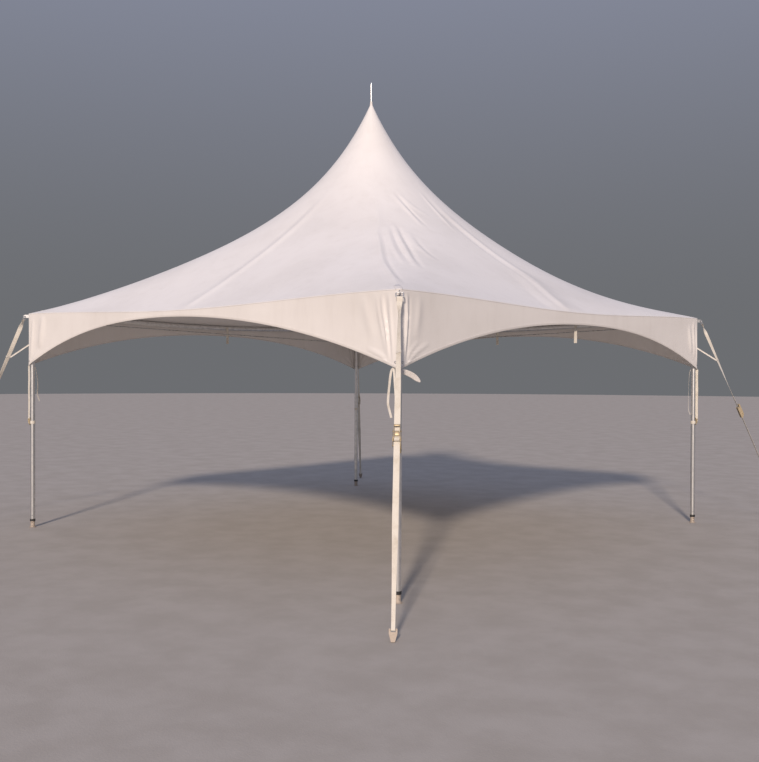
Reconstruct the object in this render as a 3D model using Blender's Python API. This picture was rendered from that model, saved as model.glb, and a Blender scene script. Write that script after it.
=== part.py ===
# Single-peak frame marquee, about 6.1 m square, in metres with +Z up.
# The origin is on the ground under the peak. Seen from outside the front
# corner, the other corners are left, right and back, and the four sides are
# front_right (+X), back_right (+Y), back_left (-X) and front_left (-Y).

import math

import bpy
import bmesh
from mathutils import Matrix, Vector

# Fabric roof
SIDE_LENGTH = 6.13           # fabric face to fabric face, a 20 ft marquee
EAVE_HEIGHT = 2.695          # fabric corners above the ground
PEAK_HEIGHT = 5.44           # where the roof's lines meet on the mast's axis
EAVE_SAG = 0.065             # middle of each eave below its corners
MEMBRANE = 0.004             # fabric with its hems, measured upright on the roof
CORNER_RADIUS = 0.04         # plan radius of the fabric round a corner
APEX_OPENING = 0.0145        # radius of the fabric's hole round the finial
STRAIGHT_SHARE = 0.694       # share of the hip's rise in its long gentle part
STRAIGHT_EASE = 0.722        # how much the gentle part flattens by the eave
PEAK_REACH = 0.1285          # length of the steep peak, as a share of the hip
SQUARING_POWER = 1.15        # how soon the round peak turns square downhill
HIP_SLACK = {                # how far each hip hangs below the even curve, or stands above it
    "front": 0.0,
    "right": 0.100,
    "back": 0.012,
    "left": -0.030,
}
ROW_SPACING = 1.35           # rows of the fabric's facets, closer together at the peak

# Valances, which hang from the eave and are arched between the corners
VALANCE_CORNER_DROP = {
    "front": 0.690,
    "right": 0.680,
    "back": 0.702,
    "left": 0.665,
}
VALANCE_MIDDLE_DROP = {
    "front_right": 0.133,
    "back_right": 0.123,
    "back_left": 0.130,
    "front_left": 0.073,
}
VALANCE_SKEW = {             # how far the arch's lower edge leans, down towards local +Y
    "front_right": -0.012,
    "back_right": 0.022,
    "back_left": -0.010,
    "front_left": 0.028,
}
CORNER_SLIT = 0.010          # open slit between two valances at a corner

# Tubes of the frame
TUBE_DIAMETER = 0.0603
TUBE_WALL = 0.003
SLEEVE_WALL = 0.0045
SLEEVE_LENGTH = 0.22
SLEEVE_STOP = 0.045          # from the corner's centre to the tubes' ends
FABRIC_CLEARANCE = 0.006     # sleeve to valance
GAP = 0.0003                 # between pieces that touch
FACET_MARGIN = 0.0015        # frame to the fabric's flat facets

# Feet
FOOT_SHOW = 0.075            # inner foot tube that shows under the leg
FOOT_INSERT = 0.25           # inner foot tube inside the leg
FOOT_PAD_DIAMETER = 0.080
FOOT_PAD_THICKNESS = 0.008

# Mast on its cables
MAST_SEAT_HEIGHT = 2.33      # cable plane at the mast above the ground
SEAT_DIAMETER = 0.100
SEAT_THICKNESS = 0.040
SEAT_SPIGOT = 0.10
SEAT_FOOT_DIAMETER = 0.060   # seat's tapered underside
SEAT_FOOT_DEPTH = 0.010
CABLE_DIAMETER = 0.010
TERMINAL_DIAMETER = 0.020
TERMINAL_LENGTH = 0.14
TERMINAL_TIP_DIAMETER = 0.012
CROWN_RADIUS = 0.085
CROWN_CLEARANCE = 0.0006     # crown to the fabric that lies on it
CROWN_SLEEVE = 0.12
CROWN_RIM = 0.012            # upright rim under the crown's cone
CROWN_TOP_WALL = 0.004       # crown round the finial, at its top
CROWN_STEPS = 6              # facets from the crown's rim to its top
FINIAL_DIAMETER = 0.025
FINIAL_TOP = 5.70
FINIAL_TIP_LENGTH = 0.025
FINIAL_TIP_DIAMETER = 0.01125

# Corner lugs, guy straps and stakes
LUG_THICKNESS = 0.006
LUG_DEPTH = 0.040
LUG_RISE = 0.018             # guy lug's upper edge above the sleeves' axes
LUG_HOLE_RADIUS = 0.0085
LUG_REACH = 0.092            # leg's axis to the outer lug's hole
CABLE_LUG_REACH = 0.075      # leg's axis to the inner lug's end
RING_WIRE_DIAMETER = 0.010
RING_SIDE_PLAY = 0.0015      # strap's loop to the start of the ring's bends
RING_DEPTH = 0.052
RING_BEND = 0.006            # bend of the ring's wire, at its middle
STRAP_WIDTH = 0.050
STRAP_THICKNESS = 0.004
STRAP_LOOP_WALL = 0.004
LOOP_EDGE = 0.0005           # sewn loop beyond the strap's edge, on each side
STRAP_FOOT_WIDTH = 0.030     # strap bunched up at the stake
STRAP_BUNCH_HEIGHT = 0.80    # below this height the strap grows narrower
STRAP_TWIST = 62.0           # strap's turn about its own run just below the ring, in degrees
STRAP_TWIST_START = 0.012    # from the ring's bar to the start of the turn
STRAP_TWIST_RUN = 0.130      # length over which it turns
STRAP_TWIST_HIGH = 2.45      # between these heights it turns back
STRAP_TWIST_LOW = 1.60
STAKE_REACH = 1.20           # leg's axis to the strap's pin at the stake
GUY_TURN = -7.0              # guys staked to one side of the diagonals, in degrees
STAKE_HEAD_WIDTH = 0.062
STAKE_HEAD_LENGTH = 0.095    # pin to the narrow end
STAKE_TIP_WIDTH = 0.020
STAKE_PLATE = 0.008
STAKE_PIN_DIAMETER = 0.010
STAKE_PIN_HEIGHT = 0.085
STAKE_EAR_WALL = 0.003       # ear left outside the pin's end
STAKE_NOTCH_PLAY = 0.005     # strap's edge to the side of its notch
STAKE_NOTCH_DEPTH = 0.017    # pin to the notch's floor
STAKE_EAR_RISE = 0.008       # ears above the pin
STAKE_SHOULDER_DROP = 0.026  # pin to where the head starts to narrow
RATCHET_HEIGHT = 1.46
RATCHET_LENGTH = 0.150
RATCHET_DEPTH = 0.046
RATCHET_PLATE = 0.004
RATCHET_SIDE_PLAY = 0.005    # strap's edge to the ratchet's side plate
RATCHET_DRUM_DIAMETER = 0.026
RATCHET_BAR_DIAMETER = 0.010
RATCHET_HANDLE_LENGTH = 0.125
RATCHET_HANDLE_DEPTH = 0.020
RATCHET_GRIP_LENGTH = 0.036
RATCHET_GRIP_OVERHANG = 0.007
RATCHET_GRIP_LIP = 0.001     # grip beyond the handle's arms, on each side
RATCHET_GRIP_INSET = 0.002   # grip below the arms' edges
RATCHET_ARM_INSET = 0.006    # handle's arms inside the frame's plates
RATCHET_BAR_PLACE = 0.060    # ratchet's middle to its bars
RATCHET_DRUM_PLACE = 0.015

# Straps that pull the valances' corners down the legs
LEG_STRAP_WIDTH = 0.038
LEG_STRAP_THICKNESS = 0.004
LEG_STRAP_TWIST = 45.0       # strap's face from the corner's middle plane, in degrees
BUCKLE_HEIGHT = 1.29         # buckle's lower end
BUCKLE_LENGTH = 0.095
BUCKLE_WIDTH = 0.044
BUCKLE_LIP = 0.008           # buckle beyond the strap's middle

# Webbing that hangs loose. Each strap has its width and the points it runs through.
EAVE_WEBBING = 0.016
TIE_WEBBING = 0.010
LOOSE_STRAPS = {
    "eave_strap_front_right": (EAVE_WEBBING, [
        (2.9825, 0.020, 2.612),
        (2.9815, 0.020, 2.550),
        (2.9830, 0.021, 2.470),
        (2.9860, 0.018, 2.390),
        (2.9830, 0.020, 2.303),
    ]),
    "eave_strap_back_right": (EAVE_WEBBING, [
        (-0.068, 2.9819, 2.625),
        (-0.068, 2.9790, 2.560),
        (-0.070, 2.9810, 2.470),
        (-0.066, 2.9790, 2.386),
    ]),
    "eave_strap_back_left": (EAVE_WEBBING, [
        (-2.9820, 0.117, 2.628),
        (-2.9790, 0.117, 2.560),
        (-2.9810, 0.120, 2.470),
        (-2.9780, 0.116, 2.381),
    ]),
    "tie_strap_front": (TIE_WEBBING, [
        (2.9948, -3.0420, 2.022),
        (2.976, -3.058, 2.003),
        (2.967, -3.066, 1.950),
        (2.961, -3.072, 1.870),
        (2.954, -3.078, 1.770),
        (2.953, -3.079, 1.710),
        (2.963, -3.070, 1.650),
        (2.974, -3.060, 1.592),
    ]),
    "tie_strap_left": (TIE_WEBBING, [
        (-2.9933, -2.9966, 2.022),
        (-2.986, -2.990, 1.970),
        (-2.975, -2.980, 1.880),
        (-2.970, -2.976, 1.790),
        (-2.975, -2.980, 1.700),
        (-2.970, -2.976, 1.655),
        (-2.954, -2.962, 1.592),
    ]),
    "tie_strap_right": (TIE_WEBBING, [
        (2.9940, 2.9973, 2.022),
        (2.983, 2.988, 1.985),
        (2.976, 2.982, 1.900),
        (2.973, 2.979, 1.750),
        (2.973, 2.978, 1.600),
        (2.973, 2.979, 1.510),
        (2.981, 2.986, 1.455),
        (2.992, 2.995, 1.425),
    ]),
}

# Mesh fineness
PANEL_COLUMNS = 18
PANEL_ROWS = 14
TUBE_SIDES = 12
EAVE_STATIONS = 8
STRAP_STATIONS = (30, 36, 8)  # along the turn, the turn back and the rest

CORNERS = {"right": 45.0, "back": 135.0, "left": 225.0, "front": 315.0}
SIDES = {"front_right": 0.0, "back_right": 90.0, "back_left": 180.0, "front_left": 270.0}
SIDE_ENDS = {                # corners at the two ends of each side, towards local -Y and +Y
    "front_right": ("front", "right"),
    "back_right": ("right", "back"),
    "back_left": ("back", "left"),
    "front_left": ("left", "front"),
}

# Sizes that follow from the ones above
HALF_SIDE = SIDE_LENGTH / 2
TUBE_RADIUS = TUBE_DIAMETER / 2
BORE_RADIUS = TUBE_RADIUS - TUBE_WALL
SLEEVE_BORE = TUBE_RADIUS + GAP
SLEEVE_RADIUS = SLEEVE_BORE + SLEEVE_WALL
TUBE_INSET = SLEEVE_RADIUS + MEMBRANE + FABRIC_CLEARANCE
FRAME_HALF = HALF_SIDE - TUBE_INSET
LEG_REACH = FRAME_HALF * math.sqrt(2)
CORNER_RATIO = math.sqrt(2) - (math.sqrt(2) - 1) * CORNER_RADIUS / HALF_SIDE
HIP_LENGTH = CORNER_RATIO * HALF_SIDE
LEG_STRAP_REACH = HIP_LENGTH - MEMBRANE / 2


def hip_drop(distance):
    """How far the hip line lies below the peak at a plan distance from the mast."""
    share = distance / HIP_LENGTH
    gentle = (share - STRAIGHT_EASE * share ** 2 / 2) / (1 - STRAIGHT_EASE / 2)
    steep = (1 - math.exp(-share / PEAK_REACH)) / (1 - math.exp(-1 / PEAK_REACH))
    return (PEAK_HEIGHT - EAVE_HEIGHT) * (STRAIGHT_SHARE * gentle + (1 - STRAIGHT_SHARE) * steep)


def roof_point(level, across, low_slack=0.0, high_slack=0.0):
    """Point of the roof's upper face on the +X side.

    level runs from 0 at the peak to 1 at the eave, and across from -1 to 1
    between the hips. A level section is a superellipse: round near the peak
    and square at the eave. The slack of each hip is greatest six tenths of
    the way down it and fades out towards the side's middle."""
    ratio = 1 + (CORNER_RATIO - 1) * level ** SQUARING_POWER
    half_width = level * HIP_LENGTH / ratio
    exponent = 1 / (0.5 - math.log2(ratio))
    square_angle = math.atan(across)
    round_angle = across * math.pi / 4
    angle = level ** 2 * square_angle + (1 - level ** 2) * round_angle
    radius = half_width * (math.cos(angle) ** exponent + abs(math.sin(angle)) ** exponent) ** (-1 / exponent)
    sag = EAVE_SAG * level ** 4 * (1 + math.cos(math.pi * across)) / 2
    slack = (high_slack if across > 0 else low_slack) * math.sin(math.pi / 2 * across) ** 2
    slack *= level ** 3 * (1 - level) ** 2 / (0.6 ** 3 * 0.4 ** 2)
    height = PEAK_HEIGHT - hip_drop(level * HIP_LENGTH) - sag - slack
    return Vector((radius * math.cos(angle), radius * math.sin(angle), height))


def across_values(columns):
    """Positions between the hips, closer together towards the hips."""
    return [math.sin(math.pi / 2 * (2 * i / columns - 1)) for i in range(columns + 1)]


def height_under_roof(radius, near_end, far_end, margin):
    """Height of a level tube's axis that just clears the slackest fabric above it.

    The tube lies along the eave, a frame's half width out, between two
    distances from the side's middle, and has a round end at the far one."""
    most_slack = max(HIP_SLACK.values())
    samples = 120
    outermost = 0.06
    heights = []
    for step in range(samples):
        for across in across_values(samples):
            level = 1 - outermost * step / (samples - 1)
            point = roof_point(level, across, most_slack, most_slack)
            if point.y < near_end:
                continue
            offset = math.hypot(point.x - FRAME_HALF, max(point.y - far_end, 0.0))
            if offset < radius:
                heights.append(point.z - MEMBRANE - margin - math.sqrt(radius ** 2 - offset ** 2))
    return min(heights)


FRAME_CORNER_HEIGHT = height_under_roof(SLEEVE_RADIUS, FRAME_HALF - SLEEVE_LENGTH, FRAME_HALF, FACET_MARGIN)
FRAME_MIDDLE_HEIGHT = min(
    height_under_roof(TUBE_RADIUS, -HALF_SIDE / 40, HALF_SIDE / 40, FACET_MARGIN),
    FRAME_CORNER_HEIGHT)
LUG_HEIGHT = FRAME_CORNER_HEIGHT + LUG_RISE - LUG_DEPTH / 2
CABLE_LUG_HEIGHT = FRAME_CORNER_HEIGHT - SLEEVE_RADIUS - LUG_DEPTH / 2


def clear_scene():
    for item in list(bpy.data.objects):
        bpy.data.objects.remove(item, do_unlink=True)


def make_material(name, colour, roughness, metallic=0.0):
    material = bpy.data.materials.new(name)
    material.use_nodes = True
    shader = material.node_tree.nodes["Principled BSDF"]
    shader.inputs["Base Color"].default_value = (*colour, 1.0)
    shader.inputs["Roughness"].default_value = roughness
    shader.inputs["Metallic"].default_value = metallic
    return material


def add_object(name, mesh, material, turn=0.0):
    """Put a mesh in the scene, turned about the mast's axis by degrees."""
    item = bpy.data.objects.new(name, mesh)
    item.rotation_euler = (0.0, 0.0, math.radians(turn))
    if not mesh.materials:
        mesh.materials.append(material)
    bpy.context.scene.collection.objects.link(item)
    return item


def mesh_from_faces(name, points, faces, smooth=True):
    mesh = bpy.data.meshes.new(name)
    mesh.from_pydata([tuple(point) for point in points], [], faces)
    build = bmesh.new()
    build.from_mesh(mesh)
    bmesh.ops.recalc_face_normals(build, faces=build.faces)
    build.to_mesh(mesh)
    build.free()
    if smooth:
        mesh.shade_smooth()
        mesh.set_sharp_from_angle(angle=math.radians(35))
    return mesh


def shell_from_grids(name, outer, inner):
    """Closed thin shell between two grids of points with the same layout.

    Cells that are not flat are cut in two along the same line on both faces,
    from nearer the middle above to nearer the side's end below, so that the
    shell keeps its thickness."""
    rows = len(outer)
    columns = len(outer[0])
    points = [point for row in outer for point in row] + [point for row in inner for point in row]
    inner_start = rows * columns
    faces = []
    for row in range(rows - 1):
        for column in range(columns - 1):
            corner = row * columns + column
            below = corner + columns
            if column < (columns - 1) / 2:
                halves = [[corner, corner + 1, below], [corner + 1, below + 1, below]]
            else:
                halves = [[corner, corner + 1, below + 1], [corner, below + 1, below]]
            for half in halves:
                faces.append(half)
                faces.append([inner_start + index for index in reversed(half)])
    rim = [column for column in range(columns)]
    rim += [row * columns + columns - 1 for row in range(1, rows)]
    rim += [(rows - 1) * columns + column for column in range(columns - 2, -1, -1)]
    rim += [row * columns for row in range(rows - 2, 0, -1)]
    for here, there in zip(rim, rim[1:] + rim[:1]):
        faces.append([there, here, inner_start + here, inner_start + there])
    return mesh_from_faces(name, points, faces)


def swept_mesh(name, rings, closed=False, cut=False):
    """Solid through rings of points. Open sweeps are capped at both ends. When
    cut, cells are pairs of triangles, and opposite cells are cut alike."""
    count = len(rings[0])
    points = [point for ring in rings for point in ring]
    faces = []
    last = len(rings) if closed else len(rings) - 1
    for step in range(last):
        here = step * count
        there = (step + 1) % len(rings) * count
        for side in range(count):
            beside = (side + 1) % count
            cell = [here + side, here + beside, there + beside, there + side]
            if cut:
                cell = cell if side < count // 2 else cell[1:] + cell[:1]
                faces += [cell[:3], [cell[0], cell[2], cell[3]]]
            else:
                faces.append(cell)
    if not closed:
        faces.append(list(reversed(range(count))))
        faces.append([last * count + side for side in range(count)])
    return mesh_from_faces(name, points, faces)


def circle(radius, sides):
    return [
        (radius * math.cos(2 * math.pi * i / sides), radius * math.sin(2 * math.pi * i / sides))
        for i in range(sides)
    ]


def turned_mesh(name, profile, sides=TUBE_SIDES):
    """Solid of revolution round Z. Profile points are (radius, height), and it
    starts and ends on the axis, or closes on itself when the piece is hollow."""
    hollow = profile[0][0] > 0
    points = []
    rings = []
    for radius, height in profile:
        if radius == 0:
            rings.append([len(points)])
            points.append((0.0, 0.0, height))
        else:
            rings.append(list(range(len(points), len(points) + sides)))
            points += [(x, y, height) for x, y in circle(radius, sides)]
    pairs = list(zip(rings, rings[1:]))
    if hollow:
        pairs.append((rings[-1], rings[0]))
    faces = []
    for lower, upper in pairs:
        for side in range(sides):
            beside = (side + 1) % sides
            if len(lower) == 1:
                faces.append([lower[0], upper[beside], upper[side]])
            elif len(upper) == 1:
                faces.append([lower[side], lower[beside], upper[0]])
            else:
                faces.append([lower[side], lower[beside], upper[beside], upper[side]])
    return mesh_from_faces(name, points, faces)


def hollow_tube_profile(radius, bore, low, high):
    return [(radius, low), (radius, high), (bore, high), (bore, low)]


def solid_profile(steps):
    """Profile of a solid rod from (radius, height) steps, closed on the axis."""
    return [(0.0, steps[0][1])] + steps + [(0.0, steps[-1][1])]


def aimed(mesh, start, end):
    """Turn a mesh that runs up Z from the origin so that it runs from start to end.

    Its X axis stays level, so the facets of tubes that share an axis line up."""
    along = (Vector(end) - Vector(start)).normalized()
    level = along.cross(Vector((0.0, 0.0, 1.0)))
    level = level.normalized() if level.length > 0.001 else Vector((1.0, 0.0, 0.0))
    frame = Matrix((level, along.cross(level), along)).transposed().to_4x4()
    mesh.transform(Matrix.Translation(Vector(start)) @ frame)
    return mesh


def box_mesh(name, low, high):
    low = Vector(low)
    high = Vector(high)
    points = [(x, y, z) for x in (low.x, high.x) for y in (low.y, high.y) for z in (low.z, high.z)]
    faces = [[0, 1, 3, 2], [4, 6, 7, 5], [0, 4, 5, 1], [2, 3, 7, 6], [0, 2, 6, 4], [1, 5, 7, 3]]
    return mesh_from_faces(name, points, faces, smooth=False)


def rod_mesh(name, radius, start, end, sides=TUBE_SIDES, phase=0.0):
    """Plain round rod. phase turns its facets about its axis, in degrees."""
    length = (Vector(end) - Vector(start)).length
    mesh = swept_mesh(name, [[Vector((x, y, z)) for x, y in circle(radius, sides)] for z in (0.0, length)])
    mesh.transform(Matrix.Rotation(math.radians(phase), 4, "Z"))
    return aimed(mesh, start, end)


def joined(name, body, additions, cuts):
    """One mesh from a body, the meshes joined to it and the meshes cut from it."""
    base = bpy.data.objects.new(name, body)
    bpy.context.scene.collection.objects.link(base)
    tools = []
    for operation, meshes in (("UNION", additions), ("DIFFERENCE", cuts)):
        for mesh in meshes:
            tool = bpy.data.objects.new(name + "_tool", mesh)
            bpy.context.scene.collection.objects.link(tool)
            tools.append(tool)
            modifier = base.modifiers.new(operation.title(), "BOOLEAN")
            modifier.operation = operation
            modifier.solver = "EXACT"
            modifier.object = tool
    graph = bpy.context.evaluated_depsgraph_get()
    graph.update()
    result = bpy.data.meshes.new_from_object(base.evaluated_get(graph))
    result.name = name
    result.materials.clear()
    for item in tools + [base]:
        bpy.data.objects.remove(item, do_unlink=True)
    result.shade_smooth()
    result.set_sharp_from_angle(angle=math.radians(35))
    return result


# Fabric

def roof_panel_mesh(name, low_slack, high_slack):
    """A quarter of the roof, between two hips and above one eave."""
    first_level = APEX_OPENING / HIP_LENGTH
    rows = [(row / PANEL_ROWS) ** ROW_SPACING for row in range(PANEL_ROWS + 1)]
    levels = [first_level + (1 - first_level) * row for row in rows]
    seam_shift = Vector((GAP / 2 * math.sqrt(2), 0.0, 0.0))
    places = across_values(PANEL_COLUMNS)
    outer = [
        [roof_point(level, across, low_slack, high_slack) + seam_shift for across in places]
        for level in levels
    ]
    drop = Vector((0.0, 0.0, MEMBRANE))
    inner = [[point - drop for point in row] for row in outer]
    return shell_from_grids(name, outer, inner)


def valance_mesh(name, middle_drop, low_drop, high_drop, skew):
    """Arched band under one eave. It follows the eave's outline round to the slits.

    Its lower edge is a parabola from the middle to each corner. The skew adds
    across x (1 - across squared), scaled so that its largest value is 1."""
    bands = 3
    skew_scale = 1.5 * math.sqrt(3)
    slit_shift = Vector((CORNER_SLIT / 2 * math.sqrt(2), 0.0, 0.0))
    outer = []
    inner = []
    for band in range(bands + 1):
        outer_row = []
        inner_row = []
        for across in across_values(PANEL_COLUMNS):
            rim = roof_point(1.0, across)
            top = rim.z - MEMBRANE - GAP
            corner_drop = high_drop if across > 0 else low_drop
            lean = skew * skew_scale * across * (1 - across ** 2)
            bottom = rim.z - middle_drop - (corner_drop - middle_drop) * across ** 2 - lean
            height = top + (bottom - top) * band / bands
            outer_row.append(Vector((rim.x, rim.y, height)))
            inner_row.append(Vector((rim.x - MEMBRANE, rim.y * (rim.x - MEMBRANE) / rim.x, height)))
        outer.append(outer_row)
        inner.append(inner_row)
    mesh = shell_from_grids(name, outer, inner)
    limit = math.sqrt(2)
    build = bmesh.new()
    build.from_mesh(mesh)
    for side in (-1, 1):
        normal = Vector((-1 / limit, side / limit, 0.0))
        edge = -normal * (CORNER_SLIT / 2)
        cut = bmesh.ops.bisect_plane(
            build, geom=build.verts[:] + build.edges[:] + build.faces[:],
            plane_co=edge, plane_no=normal, clear_outer=True)
        rim_edges = [item for item in cut["geom_cut"] if isinstance(item, bmesh.types.BMEdge)]
        bmesh.ops.contextual_create(build, geom=rim_edges)
    bmesh.ops.recalc_face_normals(build, faces=build.faces)
    build.to_mesh(mesh)
    build.free()
    return mesh


# Frame

def eave_tube_mesh(name):
    """Hollow eave tube along Y that dips with the eave between its sleeves."""
    end = FRAME_HALF - SLEEVE_STOP - GAP
    dip = FRAME_CORNER_HEIGHT - FRAME_MIDDLE_HEIGHT
    straight = FRAME_HALF - SLEEVE_LENGTH
    stations = [-end] + [straight * (2 * i / EAVE_STATIONS - 1) for i in range(EAVE_STATIONS + 1)] + [end]
    outer = []
    inner = []
    for along in stations:
        share = min(abs(along) / straight, 1.0)
        height = FRAME_CORNER_HEIGHT - dip * (1 + math.cos(math.pi * share)) / 2
        centre = Vector((FRAME_HALF, along, height))
        outer.append([centre + Vector((x, 0.0, z)) for x, z in circle(TUBE_RADIUS, TUBE_SIDES)])
        inner.append([centre + Vector((x, 0.0, z)) for x, z in circle(BORE_RADIUS, TUBE_SIDES)])
    return swept_mesh(name, outer + list(reversed(inner)), closed=True)


def leg_mesh(name):
    top = FRAME_CORNER_HEIGHT - SLEEVE_STOP - GAP
    mesh = turned_mesh(name, hollow_tube_profile(TUBE_RADIUS, BORE_RADIUS, FOOT_SHOW, top))
    mesh.transform(Matrix.Translation((LEG_REACH, 0.0, 0.0)))
    return mesh


def foot_mesh(name):
    """Flat pad with the inner tube that the leg slides over."""
    pad_radius = FOOT_PAD_DIAMETER / 2
    tube_radius = BORE_RADIUS - GAP
    mesh = turned_mesh(name, solid_profile([
        (pad_radius, 0.0),
        (pad_radius, FOOT_PAD_THICKNESS),
        (tube_radius, FOOT_PAD_THICKNESS),
        (tube_radius, FOOT_SHOW + FOOT_INSERT),
    ]))
    mesh.transform(Matrix.Translation((LEG_REACH, 0.0, 0.0)))
    return mesh


def lug_mesh(name, inner_end, outer_end, height, hole_at_end):
    """Upright plate in the corner's middle plane, rounded where it has a hole."""
    plate = box_mesh(
        name,
        (inner_end, -LUG_THICKNESS / 2, height - LUG_DEPTH / 2),
        (outer_end, LUG_THICKNESS / 2, height + LUG_DEPTH / 2))
    if not hole_at_end:
        return plate
    half = Vector((0.0, LUG_THICKNESS / 2, 0.0))
    centre = Vector((outer_end, 0.0, height))
    round_end = rod_mesh(name + "_end", LUG_DEPTH / 2, centre - half, centre + half, 16)
    return joined(name, plate, [round_end], [])


def guy_hole_centre():
    return Vector((LEG_REACH + LUG_REACH, 0.0, LUG_HEIGHT))


def corner_fitting_mesh(name):
    """Three sleeves that meet at the corner, with a guy lug and a cable lug."""
    centre = Vector((LEG_REACH, 0.0, FRAME_CORNER_HEIGHT))
    down = Vector((0.0, 0.0, -1.0))
    half_turn = math.sqrt(0.5)
    sleeve_ways = [
        (down, 7.0),
        (Vector((-half_turn, half_turn, 0.0)), 0.0),
        (Vector((-half_turn, -half_turn, 0.0)), 11.0),
    ]
    past = SLEEVE_RADIUS * 0.1
    sleeves = [
        rod_mesh(
            name + "_sleeve", SLEEVE_RADIUS, centre - way * past, centre + way * SLEEVE_LENGTH, phase=phase)
        for way, phase in sleeve_ways
    ]
    bores = [
        rod_mesh(name + "_bore", SLEEVE_BORE, centre + way * SLEEVE_STOP, centre + way * SLEEVE_LENGTH * 1.1)
        for way, _ in sleeve_ways
    ]
    guy_lug = lug_mesh(name + "_guy_lug", LEG_REACH, LEG_REACH + LUG_REACH, LUG_HEIGHT, True)
    cable_lug = lug_mesh(
        name + "_cable_lug", LEG_REACH - CABLE_LUG_REACH, LEG_REACH, CABLE_LUG_HEIGHT, False)
    hole_centre = guy_hole_centre()
    reach = Vector((0.0, LUG_THICKNESS * 2, 0.0))
    hole = rod_mesh(name + "_hole", LUG_HOLE_RADIUS, hole_centre - reach, hole_centre + reach, 12)
    return joined(name, sleeves[0], sleeves[1:] + [guy_lug, cable_lug], bores + [hole])


# Mast

def crown_mesh(name):
    """Cone that holds the fabric up, with a sleeve over the mast's top."""
    finial_bore = FINIAL_DIAMETER / 2 + GAP
    cone = []
    for step in range(CROWN_STEPS + 1):
        radius = CROWN_RADIUS + (finial_bore + CROWN_TOP_WALL - CROWN_RADIUS) * step / CROWN_STEPS
        cone.append((radius, PEAK_HEIGHT - hip_drop(radius) - MEMBRANE - CROWN_CLEARANCE))
    base = cone[0][1] - CROWN_RIM
    sleeve_low = base - CROWN_SLEEVE
    profile = [
        (SLEEVE_RADIUS, sleeve_low),
        (SLEEVE_RADIUS, base),
        (CROWN_RADIUS, base),
        *cone,
        (finial_bore, cone[-1][1]),
        (finial_bore, base),
        (SLEEVE_BORE, base),
        (SLEEVE_BORE, sleeve_low),
    ]
    return turned_mesh(name, profile), base


def finial_mesh(name, low):
    radius = FINIAL_DIAMETER / 2
    return turned_mesh(name, solid_profile([
        (radius, low),
        (radius, FINIAL_TOP - FINIAL_TIP_LENGTH),
        (FINIAL_TIP_DIAMETER / 2, FINIAL_TOP),
    ]), 12)


def mast_mesh(name, top):
    low = MAST_SEAT_HEIGHT + SEAT_THICKNESS / 2 + GAP
    return turned_mesh(name, hollow_tube_profile(TUBE_RADIUS, BORE_RADIUS, low, top))


def mast_seat_mesh(name):
    """Round seat that the four cables carry, with a spigot up the mast."""
    half = SEAT_THICKNESS / 2
    radius = SEAT_DIAMETER / 2
    spigot = BORE_RADIUS - GAP
    return turned_mesh(name, solid_profile([
        (SEAT_FOOT_DIAMETER / 2, MAST_SEAT_HEIGHT - half - SEAT_FOOT_DEPTH),
        (radius, MAST_SEAT_HEIGHT - half),
        (radius, MAST_SEAT_HEIGHT + half),
        (spigot, MAST_SEAT_HEIGHT + half),
        (spigot, MAST_SEAT_HEIGHT + half + SEAT_SPIGOT),
    ]))


def cable_mesh(name):
    """Cable from the seat to a corner's inner lug, with a swaged end at each."""
    start = Vector((SEAT_DIAMETER / 2 + GAP * 2, 0.0, MAST_SEAT_HEIGHT))
    end = Vector((LEG_REACH - CABLE_LUG_REACH - GAP * 2, 0.0, CABLE_LUG_HEIGHT))
    length = (end - start).length
    thick = TERMINAL_DIAMETER / 2
    thin = CABLE_DIAMETER / 2
    mesh = turned_mesh(name, solid_profile([
        (TERMINAL_TIP_DIAMETER / 2, 0.0),
        (thick, thick),
        (thick, TERMINAL_LENGTH),
        (thin, TERMINAL_LENGTH + thick),
        (thin, length - TERMINAL_LENGTH - thick),
        (thick, length - TERMINAL_LENGTH),
        (thick, length - thick),
        (TERMINAL_TIP_DIAMETER / 2, length),
    ]), 12)
    return aimed(mesh, start, end)


# Guying

def stake_pin_centre():
    return Vector((LEG_REACH + STAKE_REACH, 0.0, STAKE_PIN_HEIGHT))


def guy_direction():
    return (stake_pin_centre() - guy_hole_centre()).normalized()


def ring_bar_centre():
    """Middle of the ring's lower bar, when the ring is pulled tight in its hole."""
    wire = RING_WIRE_DIAMETER / 2
    return guy_hole_centre() + guy_direction() * (LUG_HOLE_RADIUS - wire - GAP + RING_DEPTH - wire * 2)


def swung(mesh):
    """Swing a piece of the guy round the upright line through the lug's hole."""
    hole = Matrix.Translation(guy_hole_centre())
    mesh.transform(hole @ Matrix.Rotation(math.radians(GUY_TURN), 4, "Z") @ hole.inverted())
    return mesh


def ring_mesh(name):
    """Rounded rectangular ring through the guy lug's hole."""
    direction = guy_direction()
    wire = RING_WIRE_DIAMETER / 2
    bend = RING_BEND
    half_width = STRAP_WIDTH / 2 + RING_SIDE_PLAY + bend
    depth = RING_DEPTH - wire * 2
    play = LUG_HOLE_RADIUS - wire - GAP
    top = guy_hole_centre() + direction * play
    sideways = Vector((0.0, 1.0, 0.0))
    face = direction.cross(sideways)
    path = []
    for corner, (across, down) in enumerate(((1, 0), (1, 1), (-1, 1), (-1, 0))):
        centre_across = across * (half_width - bend)
        centre_down = bend if down == 0 else depth - bend
        for step in range(4):
            angle = math.radians(-90 + 90 * corner + 30 * step)
            path.append((centre_across + bend * math.cos(angle), centre_down + bend * math.sin(angle), angle))
    rings = []
    for across, down, angle in path:
        centre = top + sideways * across + direction * down
        outward = sideways * math.cos(angle) + direction * math.sin(angle)
        rings.append([centre + outward * x + face * y for x, y in circle(wire, 8)])
    return swung(swept_mesh(name, rings, closed=True))


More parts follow.
